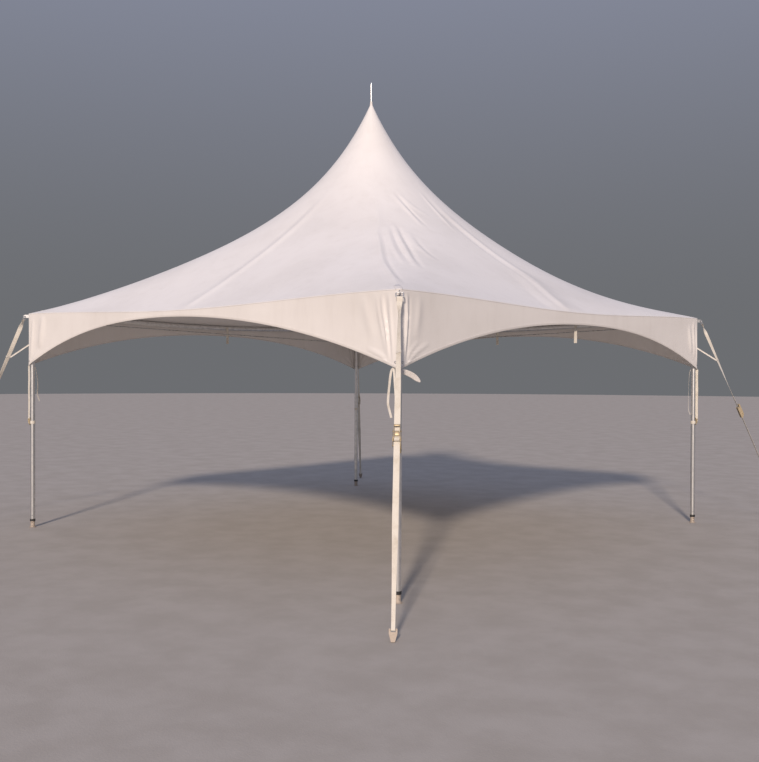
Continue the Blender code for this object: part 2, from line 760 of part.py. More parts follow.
def strap_width(height):
    """Width of the strap, which is bunched up towards the stake."""
    bunching = min(max((STRAP_BUNCH_HEIGHT - height) / STRAP_BUNCH_HEIGHT, 0.0), 1.0)
    return STRAP_WIDTH + (STRAP_FOOT_WIDTH - STRAP_WIDTH) * math.sin(bunching * math.pi / 2)


def strap_turn(along, height):
    """Angle that the strap is turned about its own run: soon after the ring it
    reaches its most, and it dies away towards the ratchet."""
    rise = min(max((along - STRAP_TWIST_START) / STRAP_TWIST_RUN, 0.0), 1.0)
    fall = min(max((height - STRAP_TWIST_LOW) / (STRAP_TWIST_HIGH - STRAP_TWIST_LOW), 0.0), 1.0)
    return math.radians(STRAP_TWIST) * rise * rise * (3 - 2 * rise) * fall


def guy_strap_mesh(name):
    """Flat strap with a sewn loop round the ring's bar and one round the stake's
    pin."""
    bar = ring_bar_centre()
    pin = stake_pin_centre()
    direction = (pin - bar).normalized()
    length = (pin - bar).length
    upper_bore = RING_WIRE_DIAMETER / 2 + GAP
    lower_bore = STAKE_PIN_DIAMETER / 2 + GAP
    band_start = upper_bore + STRAP_LOOP_WALL / 2
    band_end = length - lower_bore - STRAP_LOOP_WALL / 2
    sideways = Vector((0.0, 1.0, 0.0))
    face = direction.cross(sideways)
    turn_back = (bar.z - STRAP_TWIST_LOW) / -direction.z
    marks = [band_start, STRAP_TWIST_START + STRAP_TWIST_RUN, turn_back, band_end]
    places = [band_start]
    for start, end, parts in zip(marks, marks[1:], STRAP_STATIONS):
        places += [start + (end - start) * (step + 1) / parts for step in range(parts)]
    rings = []
    for along in places:
        centre = bar + direction * along
        turn = strap_turn(along, centre.z)
        half_wide = (sideways * math.cos(turn) + face * math.sin(turn)) * (strap_width(centre.z) / 2)
        half_deep = (face * math.cos(turn) - sideways * math.sin(turn)) * (STRAP_THICKNESS / 2)
        rings.append([
            centre + half_wide + half_deep,
            centre - half_wide + half_deep,
            centre - half_wide - half_deep,
            centre + half_wide - half_deep,
        ])
    band = swept_mesh(name, rings, cut=True)
    ends = [(bar, upper_bore, STRAP_WIDTH), (pin, lower_bore, STRAP_FOOT_WIDTH)]
    loops = []
    bores = []
    for centre, bore, width in ends:
        half = sideways * (width / 2 + LOOP_EDGE)
        loops.append(rod_mesh(name + "_loop", bore + STRAP_LOOP_WALL, centre - half, centre + half))
        bores.append(rod_mesh(name + "_bore", bore, centre - half * 2, centre + half * 2))
    return swung(joined(name, band, loops, bores))


def ratchet_mesh(name):
    """Ratchet round the strap: two side plates, a drum, two bars and a handle."""
    bar = ring_bar_centre()
    direction = (stake_pin_centre() - bar).normalized()
    sideways = Vector((0.0, 1.0, 0.0))
    outward = direction.cross(sideways)
    centre = bar + direction * ((bar.z - RATCHET_HEIGHT) / -direction.z)
    half_inside = STRAP_WIDTH / 2 + RATCHET_SIDE_PLAY
    half_outside = half_inside + RATCHET_PLATE
    frame = Matrix((
        (direction.x, sideways.x, outward.x, centre.x),
        (direction.y, sideways.y, outward.y, centre.y),
        (direction.z, sideways.z, outward.z, centre.z),
        (0.0, 0.0, 0.0, 1.0),
    ))
    half_length = RATCHET_LENGTH / 2
    back = -(STRAP_THICKNESS / 2 + GAP + RATCHET_BAR_DIAMETER)
    front = back + RATCHET_DEPTH
    plates = [
        box_mesh(
            name + "_plate",
            (-half_length, min(side * half_inside, side * half_outside), back),
            (half_length, max(side * half_inside, side * half_outside), front))
        for side in (-1, 1)
    ]
    reach = half_inside + RATCHET_PLATE / 2
    bar_radius = RATCHET_BAR_DIAMETER / 2
    drum_radius = RATCHET_DRUM_DIAMETER / 2
    bar_level = -(STRAP_THICKNESS / 2 + GAP + bar_radius)
    drum_level = STRAP_THICKNESS / 2 + GAP + drum_radius
    rods = [
        rod_mesh(name + "_bar", bar_radius, (way * RATCHET_BAR_PLACE, -reach, bar_level),
                 (way * RATCHET_BAR_PLACE, reach, bar_level), 10)
        for way in (-1, 1)
    ]
    drum = rod_mesh(
        name + "_drum", drum_radius,
        (RATCHET_DRUM_PLACE, -reach, drum_level), (RATCHET_DRUM_PLACE, reach, drum_level))
    arm_middle = half_inside - RATCHET_ARM_INSET
    arm_end = RATCHET_DRUM_PLACE - RATCHET_HANDLE_LENGTH
    handle_arms = [
        box_mesh(
            name + "_arm",
            (arm_end, side * arm_middle - RATCHET_PLATE / 2, drum_level),
            (RATCHET_DRUM_PLACE, side * arm_middle + RATCHET_PLATE / 2, drum_level + RATCHET_HANDLE_DEPTH))
        for side in (-1, 1)
    ]
    grip_half = arm_middle + RATCHET_PLATE / 2 + RATCHET_GRIP_LIP
    grip_start = arm_end - RATCHET_GRIP_OVERHANG
    grip = box_mesh(
        name + "_grip",
        (grip_start, -grip_half, drum_level + RATCHET_GRIP_INSET),
        (grip_start + RATCHET_GRIP_LENGTH, grip_half, drum_level + RATCHET_HANDLE_DEPTH - RATCHET_GRIP_INSET))
    mesh = joined(name, plates[0], [plates[1], *rods, drum, *handle_arms, grip], [])
    mesh.transform(frame)
    return swung(mesh)


def stake_mesh(name):
    """Shield-shaped head of the ground stake, cut off level with the ground. Its
    two ears hold the pin that the guy strap goes round."""
    pin = stake_pin_centre()
    direction = guy_direction()
    sideways = Vector((0.0, 1.0, 0.0))
    face = direction.cross(sideways) * (STAKE_PLATE / 2)
    half_head = STAKE_HEAD_WIDTH / 2
    half_notch = STRAP_FOOT_WIDTH / 2 + STAKE_NOTCH_PLAY
    half_tip = STAKE_TIP_WIDTH / 2
    below = STAKE_HEAD_LENGTH * 1.4
    outline = [
        (half_notch, -STAKE_EAR_RISE), (half_head, -STAKE_EAR_RISE), (half_head, STAKE_SHOULDER_DROP),
        (half_tip, STAKE_HEAD_LENGTH), (half_tip, below),
        (-half_tip, below), (-half_tip, STAKE_HEAD_LENGTH),
        (-half_head, STAKE_SHOULDER_DROP), (-half_head, -STAKE_EAR_RISE), (-half_notch, -STAKE_EAR_RISE),
        (-half_notch, STAKE_NOTCH_DEPTH), (half_notch, STAKE_NOTCH_DEPTH),
    ]
    flat = [pin + sideways * across + direction * down for across, down in outline]
    plate = swept_mesh(name, [[point + face for point in flat], [point - face for point in flat]])
    reach = sideways * (half_head - STAKE_EAR_WALL)
    rod = rod_mesh(name + "_pin", STAKE_PIN_DIAMETER / 2, pin - reach, pin + reach, 10)
    soil_half = STAKE_HEAD_LENGTH * 3
    soil = box_mesh(
        name + "_soil", (pin.x - soil_half, -soil_half, -soil_half), (pin.x + soil_half, soil_half, 0.0))
    return swung(joined(name, plate, [rod], [soil]))


# Straps of the valances

def leg_strap_mesh(name, valance_drop):
    """Flat strap from the valances' corner down to a buckle that sits on the leg."""
    middle_height = BUCKLE_HEIGHT + BUCKLE_LENGTH / 2
    top = EAVE_HEIGHT - valance_drop
    band = box_mesh(
        name,
        (-LEG_STRAP_THICKNESS / 2, -LEG_STRAP_WIDTH / 2, middle_height),
        (LEG_STRAP_THICKNESS / 2, LEG_STRAP_WIDTH / 2, top))
    twist = Matrix.Rotation(math.radians(LEG_STRAP_TWIST), 4, "Z")
    band.transform(Matrix.Translation((LEG_STRAP_REACH, 0.0, 0.0)) @ twist)
    buckle = box_mesh(
        name + "_buckle",
        (LEG_REACH + TUBE_RADIUS + GAP, -BUCKLE_WIDTH / 2, BUCKLE_HEIGHT),
        (LEG_STRAP_REACH + BUCKLE_LIP, BUCKLE_WIDTH / 2, BUCKLE_HEIGHT + BUCKLE_LENGTH))
    return joined(name, band, [buckle], [])


def smooth_route(points, spacing):
    """Points along the Catmull-Rom curve through a route, about one per spacing."""
    route = [Vector(point) for point in points]
    ends = [route[0] * 2 - route[1]] + route + [route[-1] * 2 - route[-2]]
    smooth = []
    for before, start, end, after in zip(ends, ends[1:], ends[2:], ends[3:]):
        parts = max(1, round((end - start).length / spacing))
        for part in range(parts):
            t = part / parts
            smooth.append(0.5 * (
                2 * start
                + (end - before) * t
                + (2 * before - 5 * start + 4 * end - after) * t ** 2
                + (3 * start - 3 * end + after - before) * t ** 3))
    smooth.append(route[-1])
    return smooth


def add_loose_strap(name, diameter, points, material):
    route = smooth_route(points, diameter * 2.5)
    curve = bpy.data.curves.new(name, "CURVE")
    curve.dimensions = "3D"
    curve.bevel_depth = diameter / 2
    curve.bevel_resolution = 2
    curve.use_fill_caps = True
    spline = curve.splines.new("POLY")
    spline.points.add(len(route) - 1)
    for place, point in zip(spline.points, route):
        place.co = (*point, 1.0)
    curve.materials.append(material)
    strap = bpy.data.objects.new(name, curve)
    bpy.context.scene.collection.objects.link(strap)


def build_model():
    clear_scene()
    vinyl = make_material("white_vinyl", (0.86, 0.83, 0.80), 0.55)
    tube = make_material("aluminium_tube", (0.70, 0.70, 0.69), 0.38, 1.0)
    steel = make_material("galvanised_steel", (0.52, 0.53, 0.54), 0.45, 1.0)
    cable = make_material("steel_cable", (0.40, 0.41, 0.42), 0.40, 1.0)
    webbing = make_material("cream_webbing", (0.82, 0.77, 0.68), 0.80)

    eave = eave_tube_mesh("eave_tube")
    for side, turn in SIDES.items():
        low, high = SIDE_ENDS[side]
        panel = roof_panel_mesh("roof_panel_" + side, HIP_SLACK[low], HIP_SLACK[high])
        valance = valance_mesh(
            "valance_" + side, VALANCE_MIDDLE_DROP[side], VALANCE_CORNER_DROP[low], VALANCE_CORNER_DROP[high],
            VALANCE_SKEW[side])
        add_object("roof_panel_" + side, panel, vinyl, turn)
        add_object("valance_" + side, valance, vinyl, turn)
        add_object("eave_tube_" + side, eave, tube, turn)

    corner_pieces = {
        "leg": (leg_mesh("leg"), tube),
        "foot": (foot_mesh("foot"), steel),
        "corner_fitting": (corner_fitting_mesh("corner_fitting"), steel),
        "mast_cable": (cable_mesh("mast_cable"), cable),
        "guy_ring": (ring_mesh("guy_ring"), steel),
        "guy_strap": (guy_strap_mesh("guy_strap"), webbing),
        "ratchet": (ratchet_mesh("ratchet"), steel),
        "stake": (stake_mesh("stake"), steel),
    }
    for corner, turn in CORNERS.items():
        for piece, (mesh, material) in corner_pieces.items():
            add_object(piece + "_" + corner, mesh, material, turn)
        leg_strap = leg_strap_mesh("leg_strap_" + corner, VALANCE_CORNER_DROP[corner])
        add_object("leg_strap_" + corner, leg_strap, webbing, turn)

    crown, mast_top = crown_mesh("crown")
    add_object("crown", crown, steel)
    add_object("mast", mast_mesh("mast", mast_top - GAP), tube)
    add_object("mast_seat", mast_seat_mesh("mast_seat"), steel)
    add_object("finial", finial_mesh("finial", mast_top + GAP), tube)

    for name, (diameter, points) in LOOSE_STRAPS.items():
        add_loose_strap(name, diameter, points, webbing)


build_model()
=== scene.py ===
# Looks of the single-peak frame marquee: fabric, webbing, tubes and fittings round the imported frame.
# Metres, +Z up. Corner pieces are worked out with +X pointing out along a corner's diagonal, then turned.
import math
from functools import partialmethod

import bpy
import numpy as np
from mathutils import Matrix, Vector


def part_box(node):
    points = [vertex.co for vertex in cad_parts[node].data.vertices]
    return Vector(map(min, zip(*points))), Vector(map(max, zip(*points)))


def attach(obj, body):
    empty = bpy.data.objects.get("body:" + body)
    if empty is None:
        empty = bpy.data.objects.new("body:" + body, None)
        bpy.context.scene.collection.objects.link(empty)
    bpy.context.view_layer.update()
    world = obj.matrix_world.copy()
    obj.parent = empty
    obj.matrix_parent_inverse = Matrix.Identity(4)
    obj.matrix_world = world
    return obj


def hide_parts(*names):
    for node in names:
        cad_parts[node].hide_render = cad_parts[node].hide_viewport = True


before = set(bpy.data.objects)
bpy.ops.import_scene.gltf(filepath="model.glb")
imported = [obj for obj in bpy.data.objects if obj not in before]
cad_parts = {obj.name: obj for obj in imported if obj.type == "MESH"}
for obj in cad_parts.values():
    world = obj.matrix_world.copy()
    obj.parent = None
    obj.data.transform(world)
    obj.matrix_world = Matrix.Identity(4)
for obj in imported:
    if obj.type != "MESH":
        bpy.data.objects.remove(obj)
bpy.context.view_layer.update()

print("frame loaded:", len(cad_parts), "nodes")

cornerTurns = {"front": 315.0, "right": 45.0, "back": 135.0, "left": 225.0}
sideTurns = {"front_right": 0.0, "back_right": 90.0, "back_left": 180.0, "front_left": 270.0}


# Camera at the photograph's place

viewpoint = {
    "place": (8.447, -9.463, 2.0055),
    "heading": 41.218,
    "tilt": -0.667,
    "roll": 0.2025,
    "focalPixels": 982.15,
    "longSidePixels": 762,
    "sensor": 36.0,
}


def addCamera(values):
    data = bpy.data.cameras.new("viewpoint")
    data.sensor_width = values["sensor"]
    data.lens = values["focalPixels"] * values["sensor"] / values["longSidePixels"]
    data.clip_end = 200.0
    camera = bpy.data.objects.new("viewpoint", data)
    camera.matrix_world = (
        Matrix.Translation(values["place"])
        @ Matrix.Rotation(math.radians(values["heading"]), 4, "Z")
        @ Matrix.Rotation(math.radians(90.0 + values["tilt"]), 4, "X")
        @ Matrix.Rotation(math.radians(values["roll"]), 4, "Z"))
    bpy.context.scene.collection.objects.link(camera)
    bpy.context.scene.camera = camera


addCamera(viewpoint)
print("camera placed")


# Points and vectors

sideways = np.array([0.0, 1.0, 0.0])
upward = np.array([0.0, 0.0, 1.0])


def floats(values):
    return np.asarray(values, dtype=float)


def unit(vectors):
    return vectors / np.maximum(np.linalg.norm(vectors, axis=-1, keepdims=True), 1e-12)


def span(start, end):
    # Both ends as arrays, and the distance between them
    start, end = floats(start), floats(end)
    return start, end, float(np.linalg.norm(end - start))


def distances(points):
    # How far each point lies along the line through them
    return np.concatenate([[0.0], np.cumsum(np.linalg.norm(np.diff(points, axis=0), axis=1))])


def levelOutward(line):
    # Level unit vectors to the right of a line's run
    return unit(np.column_stack([line[:, 1], -line[:, 0], np.zeros(len(line))]))


def turnAbout(points, degrees, centre=(0.0, 0.0)):
    # Level turn about the upright line through the centre
    angle = math.radians(degrees)
    turn = np.array([
        [math.cos(angle), -math.sin(angle), 0.0],
        [math.sin(angle), math.cos(angle), 0.0],
        [0.0, 0.0, 1.0]])
    middle = np.array([*centre, 0.0])
    return (floats(points) - middle) @ turn.T + middle


def smoothRoute(points, spacing):
    # Catmull-Rom curve through the points, about one point per spacing
    route = floats(points)
    ends = np.vstack([2 * route[0] - route[1], route, 2 * route[-1] - route[-2]])
    runs = []
    for before, start, end, after in zip(ends, ends[1:], ends[2:], ends[3:]):
        parts = max(1, round(float(np.linalg.norm(end - start)) / spacing))
        t = np.arange(parts)[:, None] / parts
        runs.append(0.5 * (
            2 * start
            + (end - before) * t
            + (2 * before - 5 * start + 4 * end - after) * t ** 2
            + (3 * start - 3 * end + after - before) * t ** 3))
    return np.vstack([*runs, route[-1:]])


def eased(values, low, high):
    # 0 below low, 1 above high, and a smooth rise between
    share = np.clip((floats(values) - low) / (high - low), 0.0, 1.0)
    return share * share * (3 - 2 * share)


# Meshes from grids of points

def cutLengths(grid):
    # Metres along the columns and down the rows, averaged over the grid
    across = np.linalg.norm(np.diff(grid, axis=1), axis=2).mean(axis=0)
    down = np.linalg.norm(np.diff(grid, axis=0), axis=2).mean(axis=1)
    u = np.concatenate([[0.0], np.cumsum(across)])
    v = np.concatenate([[0.0], np.cumsum(down)])
    return np.stack(np.broadcast_arrays(u[None, :], v[:, None]), axis=-1)


def quadsOf(grid):
    # Four corners of each cell; the face looks along row way x column way
    cells = np.stack([grid[:-1, :-1], grid[1:, :-1], grid[1:, 1:], grid[:-1, 1:]], axis=2)
    return cells.reshape(-1, *cells.shape[2:])


def volumeOf(points, faces):
    # Sum of the signed tetrahedra from the origin to each face's triangles
    total = 0.0
    for corners, _ in faces:
        first = points[corners[:, 0]]
        for step in range(1, corners.shape[1] - 1):
            total += (first * np.cross(points[corners[:, step]], points[corners[:, step + 1]])).sum()
    return total


def gridPart(grid, around=False, along=False, ends=""):
    # Rows x columns of points as quads. "around" joins the last column to the first and "along" the last
    # row to the first. ends is "hub" for a middle point at both end rows or "flat" for one face there.
    # Closed parts face outwards.
    grid = floats(grid)
    rows, columns = grid.shape[:2]
    points = grid.reshape(-1, 3)
    index = np.arange(rows * columns).reshape(rows, columns)
    if around:
        index = np.hstack([index, index[:, :1]])
    if along:
        index = np.vstack([index, index[:1]])
    cut = cutLengths(points[index])
    faces = [(quadsOf(index), quadsOf(cut))]
    for row, order in ((0, (0, 1, 2)), (-1, (1, 0, 2))):
        if ends == "hub":
            hub = len(points)
            points = np.vstack([points, grid[row].mean(axis=0)])
            here, there = index[row, :-1], index[row, 1:]
            fan = np.stack([np.full_like(here, hub), here, there], axis=1)
            edge = np.stack([(cut[row, :-1] + cut[row, 1:]) / 2, cut[row, :-1], cut[row, 1:]], axis=1)
            faces.append((fan[:, order], edge[:, order]))
        elif ends == "flat":
            way = 1 if row == 0 else -1
            faces.append((index[row, :columns][::way][None], cut[row, :columns][::way][None]))
    if around and (along or ends) and volumeOf(points, faces) < 0:
        faces = [(corners[:, ::-1], edge[:, ::-1]) for corners, edge in faces]
    return points, faces


def moved(part, change):
    return change(part[0]), part[1]


def addPiece(name, parts, finishName, replaces=(), sharp=40.0):
    points, polygons, cuts, start = [], [], [], 0
    for partPoints, faces in parts:
        for corners, cut in faces:
            polygons += (corners + start).tolist()
            cuts.append(cut.reshape(-1, 2))
        points.append(partPoints)
        start += len(partPoints)
    mesh = bpy.data.meshes.new(name)
    mesh.from_pydata(np.vstack(points).tolist(), [], polygons)
    mesh.uv_layers.new(name="cut").data.foreach_set("uv", np.vstack(cuts).ravel())
    mesh.materials.append(finishes[finishName])
    mesh.shade_smooth()
    mesh.set_sharp_from_angle(angle=math.radians(sharp))
    piece = bpy.data.objects.new(name, mesh)
    bpy.context.scene.collection.objects.link(piece)
    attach(piece, "root")
    if replaces:
        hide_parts(*replaces)
    return piece


def addField(piece, name, values):
    piece.data.attributes.new(name, "FLOAT", "POINT").data.foreach_set("value", np.ravel(values))


def atCorner(parts, turn):
    return [moved(part, lambda points: turnAbout(points, turn)) for part in parts]


def addRound(turns, rows):
    # A row is the pieces' name, what makes and places them, their finish and the node they stand for
    for spot, turn in turns.items():
        for name, makeParts, place, finish, node in rows:
            addPiece(f"{name}_{spot}", place(makeParts(), turn), finish, [f"{node}_{spot}"] if node else ())


def addThickness(piece, thickness, side=-1.0):
    solidify = piece.modifiers.new("thickness", "SOLIDIFY")
    solidify.thickness = thickness
    solidify.offset = side
    solidify.use_even_offset = False


# Profiles, as rows of (across, out)

def circle(radius, sides):
    angle = np.arange(sides) * 2 * math.pi / sides
    return np.column_stack([np.cos(angle), np.sin(angle)]) * radius


def flatOval(width, thickness, count=28):
    # Superellipse of power 8: flat faces with rounded edges
    angle = (np.arange(count) + 0.5) * 2 * math.pi / count
    wide, deep = np.cos(angle), np.sin(angle)
    return np.column_stack([
        np.sign(wide) * np.abs(wide) ** 0.5 * width / 2,
        np.sign(deep) * np.abs(deep) ** 0.25 * thickness / 2])


def roundedBox(width, depth, edge, steps=4):
    # Rectangle whose corners are quarter circles of radius edge
    angle = np.linspace(0.0, math.pi / 2, steps)
    turns = np.arange(4)[:, None] * math.pi / 2
    signs = np.array([(1, 1), (-1, 1), (-1, -1), (1, -1)])[:, None, :]
    arcs = np.stack([np.cos(angle + turns), np.sin(angle + turns)], axis=-1) * edge
    return (arcs + signs * (width / 2 - edge, depth / 2 - edge)).reshape(-1, 2)


def softened(outline, cutBack, steps=5):
    # Each corner of the outline replaced by a quadratic Bezier that starts and ends cutBack from it
    corner = floats(outline)
    before = corner + unit(np.roll(corner, 1, axis=0) - corner) * cutBack
    after = corner + unit(np.roll(corner, -1, axis=0) - corner) * cutBack
    t = np.linspace(0.0, 1.0, steps)[None, :, None]
    curve = (1 - t) ** 2 * before[:, None] + 2 * t * (1 - t) * corner[:, None] + t ** 2 * after[:, None]
    return curve.reshape(-1, 2)


def inset(outline, amount):
    # Outline moved inwards by amount; the outline runs counterclockwise
    edge = unit(np.roll(outline, -1, axis=0) - outline)
    outward = np.column_stack([edge[:, 1], -edge[:, 0]])
    before = np.roll(outward, 1, axis=0)
    mitre = (outward + before) / (1 + (outward * before).sum(axis=1, keepdims=True))
    return outline - mitre * amount


# Solids

def sweep(path, profile, side, scale=(1.0, 1.0), loop=False):
    # point = path + across x side + out x face, with face = tangent x side. The profile is one for the
    # whole path, or one for each of its points.
    path = floats(path)
    ahead = np.roll(path, -1, axis=0) - np.roll(path, 1, axis=0) if loop else np.gradient(path, axis=0)
    tangent = unit(ahead)
    side = np.broadcast_to(floats(side), path.shape)
    side = unit(side - (side * tangent).sum(axis=1, keepdims=True) * tangent)
    face = np.cross(tangent, side)
    scale = np.broadcast_to(floats(scale), (len(path), 2))
    shape = np.broadcast_to(profile, (len(path), *np.shape(profile)[-2:])) * scale[:, None, :]
    grid = path[:, None] + side[:, None] * shape[..., :1] + face[:, None] * shape[..., 1:]
    return gridPart(grid, around=True, along=loop, ends="" if loop else "hub")


def ringRound(axis, sides):
    # The axis as a unit vector, and unit vectors all round it
    axis = unit(floats(axis))
    helper = (1.0, 0.0, 0.0) if abs(axis[2]) > 0.9 else (0.0, 0.0, 1.0)
    side = unit(np.cross(helper, axis))
    spin = circle(1.0, sides)
    return axis, spin[:, :1] * side + spin[:, 1:] * np.cross(axis, side)


def turned(profile, base, axis=(0.0, 0.0, 1.0), sides=48, hollow=False):
    # (radius, height) rows turned round an axis through the base point
    profile = floats(profile)
    axis, ring = ringRound(axis, sides)
    grid = floats(base) + profile[:, 1, None, None] * axis + profile[:, 0, None, None] * ring[None]
    return gridPart(grid, around=True, along=hollow, ends="" if hollow else "hub")


def rod(start, end, radius, sides=24, edge=0.001):
    start, end, length = span(start, end)
    edge = min(edge, radius * 0.4, length * 0.2)
    profile = [(radius - edge, 0.0), (radius, edge), (radius, length - edge), (radius - edge, length)]
    return turned(profile, start, end - start, sides)


def tube(start, end, radius, bore, sides=48, edge=0.0006):
    start, end, length = span(start, end)
    profile = [
        (bore, edge), (bore + edge, 0.0), (radius - edge, 0.0), (radius, edge),
        (radius, length - edge), (radius - edge, length), (bore + edge, length), (bore, length - edge)]
    return turned(profile, start, end - start, sides, hollow=True)


def bar(start, end, side, width, depth, edge):
    # Rectangular bar with its edges rounded
    start, end, length = span(start, end)
    steps = np.array([0.0, 0.3 * edge, edge, length - edge, length - 0.3 * edge, length])
    shy = np.array([edge, 0.3 * edge, 0.0, 0.0, 0.3 * edge, edge])
    path = start + (end - start) / length * steps[:, None]
    scale = np.column_stack([1 - 2 * shy / width, 1 - 2 * shy / depth])
    return sweep(path, roundedBox(width, depth, edge), side, scale)


def plate(outline, thickness, edge, place, across, down):
    # Flat outline of (across, down) points given a thickness, with bevelled edges
    across, down, outer = floats(across), floats(down), floats(outline)
    out = np.cross(across, down)
    shy = inset(outer, edge)
    half = thickness / 2
    return gridPart([
        place + flat[:, :1] * across + flat[:, 1:] * down + lift * out
        for flat, lift in ((shy, -half), (outer, edge - half), (outer, half - edge), (shy, half))
    ], around=True, ends="flat")


def lugPlate(hole, back, radius, bore, thickness, inwards, upright, edge=0.0012):
    # Plate with one round end about its hole. Its outline is radius(angle) round the hole's centre: a
    # circle on the outer half, and the nearest of the two straight edges and the back end on the inner
    # half.
    inwards, upright = floats(inwards), floats(upright)
    out = np.cross(inwards, upright)
    angle = np.linspace(0.0, 2 * math.pi, 73)[:-1]
    cosine, sine = np.cos(angle)[:, None], np.sin(angle)[:, None]
    straight = np.minimum(radius / np.maximum(np.abs(sine), 1e-6), back / np.maximum(cosine, 1e-6))
    reach = np.where(cosine > 0, straight, radius)
    half = thickness / 2
    return gridPart([
        hole + size * (cosine * inwards + sine * upright) + lift * out
        for size, lift in ((bore, -half), (reach - edge, -half), (reach, edge - half), (reach, half - edge),
                           (reach - edge, half), (bore, half))
    ], around=True, along=True)


def hexHead(base, axis, flats, height):
    # Bolt head or nut with its top corners turned down
    radius = flats / math.sqrt(3)
    profile = [(radius, 0.0), (radius, height * 0.8), (radius * 0.88, height)]
    return turned(profile, base, axis, 6)


def bead(centre, axis, radius, size, ripple=0.12):
    # Weld bead: a wire round a circle whose thickness ripples
    axis, ring = ringRound(axis, 96)
    swell = 1 + ripple * np.sin(np.arange(96) * math.pi / 2)
    return sweep(centre + ring * radius, circle(size, 6), axis, swell[:, None], loop=True)


# Finishes

class Value:
    # A socket that adds Math nodes when it is used in a sum
    def __init__(self, graph, socket):
        self.graph = graph
        self.socket = socket

    def math(self, operation, *others):
        return self.graph.node("ShaderNodeMath", {"operation": operation}, dict(enumerate((self, *others))))

    __add__ = __radd__ = partialmethod(math, "ADD")
    __mul__ = __rmul__ = partialmethod(math, "MULTIPLY")
    __sub__ = partialmethod(math, "SUBTRACT")
    wave = partialmethod(math, "SINE")
    size = partialmethod(math, "ABSOLUTE")
    part = partialmethod(math, "FRACT")
    above = partialmethod(math, "GREATER_THAN")
    highest = partialmethod(math, "MAXIMUM")

    def __rsub__(self, other):
        return self * -1.0 + other

    def between(self, low, high):
        # 0 at low and 1 at high, held inside
        return self.graph.node("ShaderNodeMapRange", {"interpolation_type": "SMOOTHSTEP"}, {
            "Value": self, "From Min": low, "From Max": high})


class Graph:
    # A node tree; node() adds any node from its type, its settings and its sockets
    def __init__(self, tree):
        self.tree = tree

    def node(self, kind, settings=None, sockets=None, output=0):
        item = self.tree.nodes.new(kind)
        for key, value in (settings or {}).items():
            setattr(item, key, value)
        for key, value in (sockets or {}).items():
            self.feed(item.inputs[key], value)
        return Value(self, item.outputs[output])

    def feed(self, socket, value):
        if isinstance(value, Value):
            self.tree.links.new(value.socket, socket)
        elif isinstance(value, tuple) and len(value) == 3 and socket.type == "RGBA":
            socket.default_value = (*value, 1.0)
        else:
            socket.default_value = value

    def blend(self, factor, first, second):
        return self.node("ShaderNodeMix", {"data_type": "RGBA"}, {0: factor, 6: first, 7: second}, output=2)


class Finish(Graph):
    # One material
    def __init__(self, name, metallic=0.0):
        self.material = bpy.data.materials.new(name)
        self.material.use_nodes = True
        super().__init__(self.material.node_tree)
        self.shader = self.tree.nodes["Principled BSDF"]
        self.shader.inputs["Metallic"].default_value = metallic

    def set(self, **values):
        for key, value in values.items():
            self.feed(self.shader.inputs[key.replace("_", " ")], value)
        return self.material

    def place(self, scale=(1.0, 1.0, 1.0), turn=(0.0, 0.0, 0.0)):
        # The object's own coordinates in metres, stretched or turned
        spot = self.node("ShaderNodeTexCoord", output=3)
        return self.node("ShaderNodeMapping", {}, {"Vector": spot, "Scale": scale, "Rotation": turn})

    def cut(self):
        # The piece's own flat coordinates in metres, across and along
        flat = self.node("ShaderNodeUVMap", {"uv_map": "cut"})
        parts = self.node("ShaderNodeSeparateXYZ", {}, {"Vector": flat})
        return parts, Value(self, parts.socket.node.outputs[1]), flat

    def noise(self, where, scale, detail=3.0, roughness=0.5):
        return self.node("ShaderNodeTexNoise", {}, {
            "Vector": where, "Scale": scale, "Detail": detail, "Roughness": roughness})

    def attribute(self, name):
        return self.node("ShaderNodeAttribute", {"attribute_name": name}, output=2)

    def relief(self, height, distance, under=None):
        sockets = {"Height": height, "Distance": distance, "Strength": 1.0}
        if under is not None:
            sockets["Normal"] = under
        return self.node("ShaderNodeBump", {}, sockets)


def vinylFinish(name, clean, worn, roughness, seams=False, hem=False):
    # Coated fabric: fine scrim under the coat, soft cloudy dirt, welded seams on the roof and a sewn hem
    # on a valance
    finish = Finish(name)
    across, along, _ = finish.cut()
    place = finish.place()
    clouds = finish.noise(place, 0.9, 4.0, 0.55).between(0.35, 0.72)
    streaks = finish.noise(finish.place((5.0, 5.0, 0.9)), 1.6, 5.0, 0.6).between(0.45, 0.8)
    specks = finish.noise(place, 46.0, 2.0, 0.6).between(0.64, 0.8)
    dirt = clouds * 0.5 + streaks * 0.3 + specks * 0.12
    colour = finish.blend(dirt, clean, worn)
    scrim = (across * (2 * math.pi / 0.0016)).wave() * (along * (2 * math.pi / 0.0016)).wave()
    height = scrim * 0.00002 + finish.noise(place, 7.0, 4.0, 0.5) * 0.0012
    if seams:
        hips = 1.0 - finish.attribute("hipReach").between(0.0115, 0.0130)
        middles = 1.0 - finish.attribute("midReach").between(0.0115, 0.0130)
        weld = hips.highest(middles)
        colour = finish.blend(weld * 0.25, colour, tuple(0.97 * shade for shade in clean))
        height = height + weld * 0.0005
    if hem:
        reach = finish.attribute("hemReach")
        row = 1.0 - (reach - 0.021).size().between(0.0004, 0.0009)
        stitch = row * (1.0 - (across * (1 / 0.006)).part().above(0.62))
        colour = finish.blend(stitch * 0.5 + (1.0 - reach.between(0.0, 0.03)) * 0.35, colour, worn)
        height = height + stitch * 0.0004 - row * 0.0003
    return finish.set(
        Base_Color=colour,
        Roughness=finish.noise(place, 3.0, 3.0, 0.5) * 0.16 + (roughness - 0.08),
        Normal=finish.relief(height, 1.0))


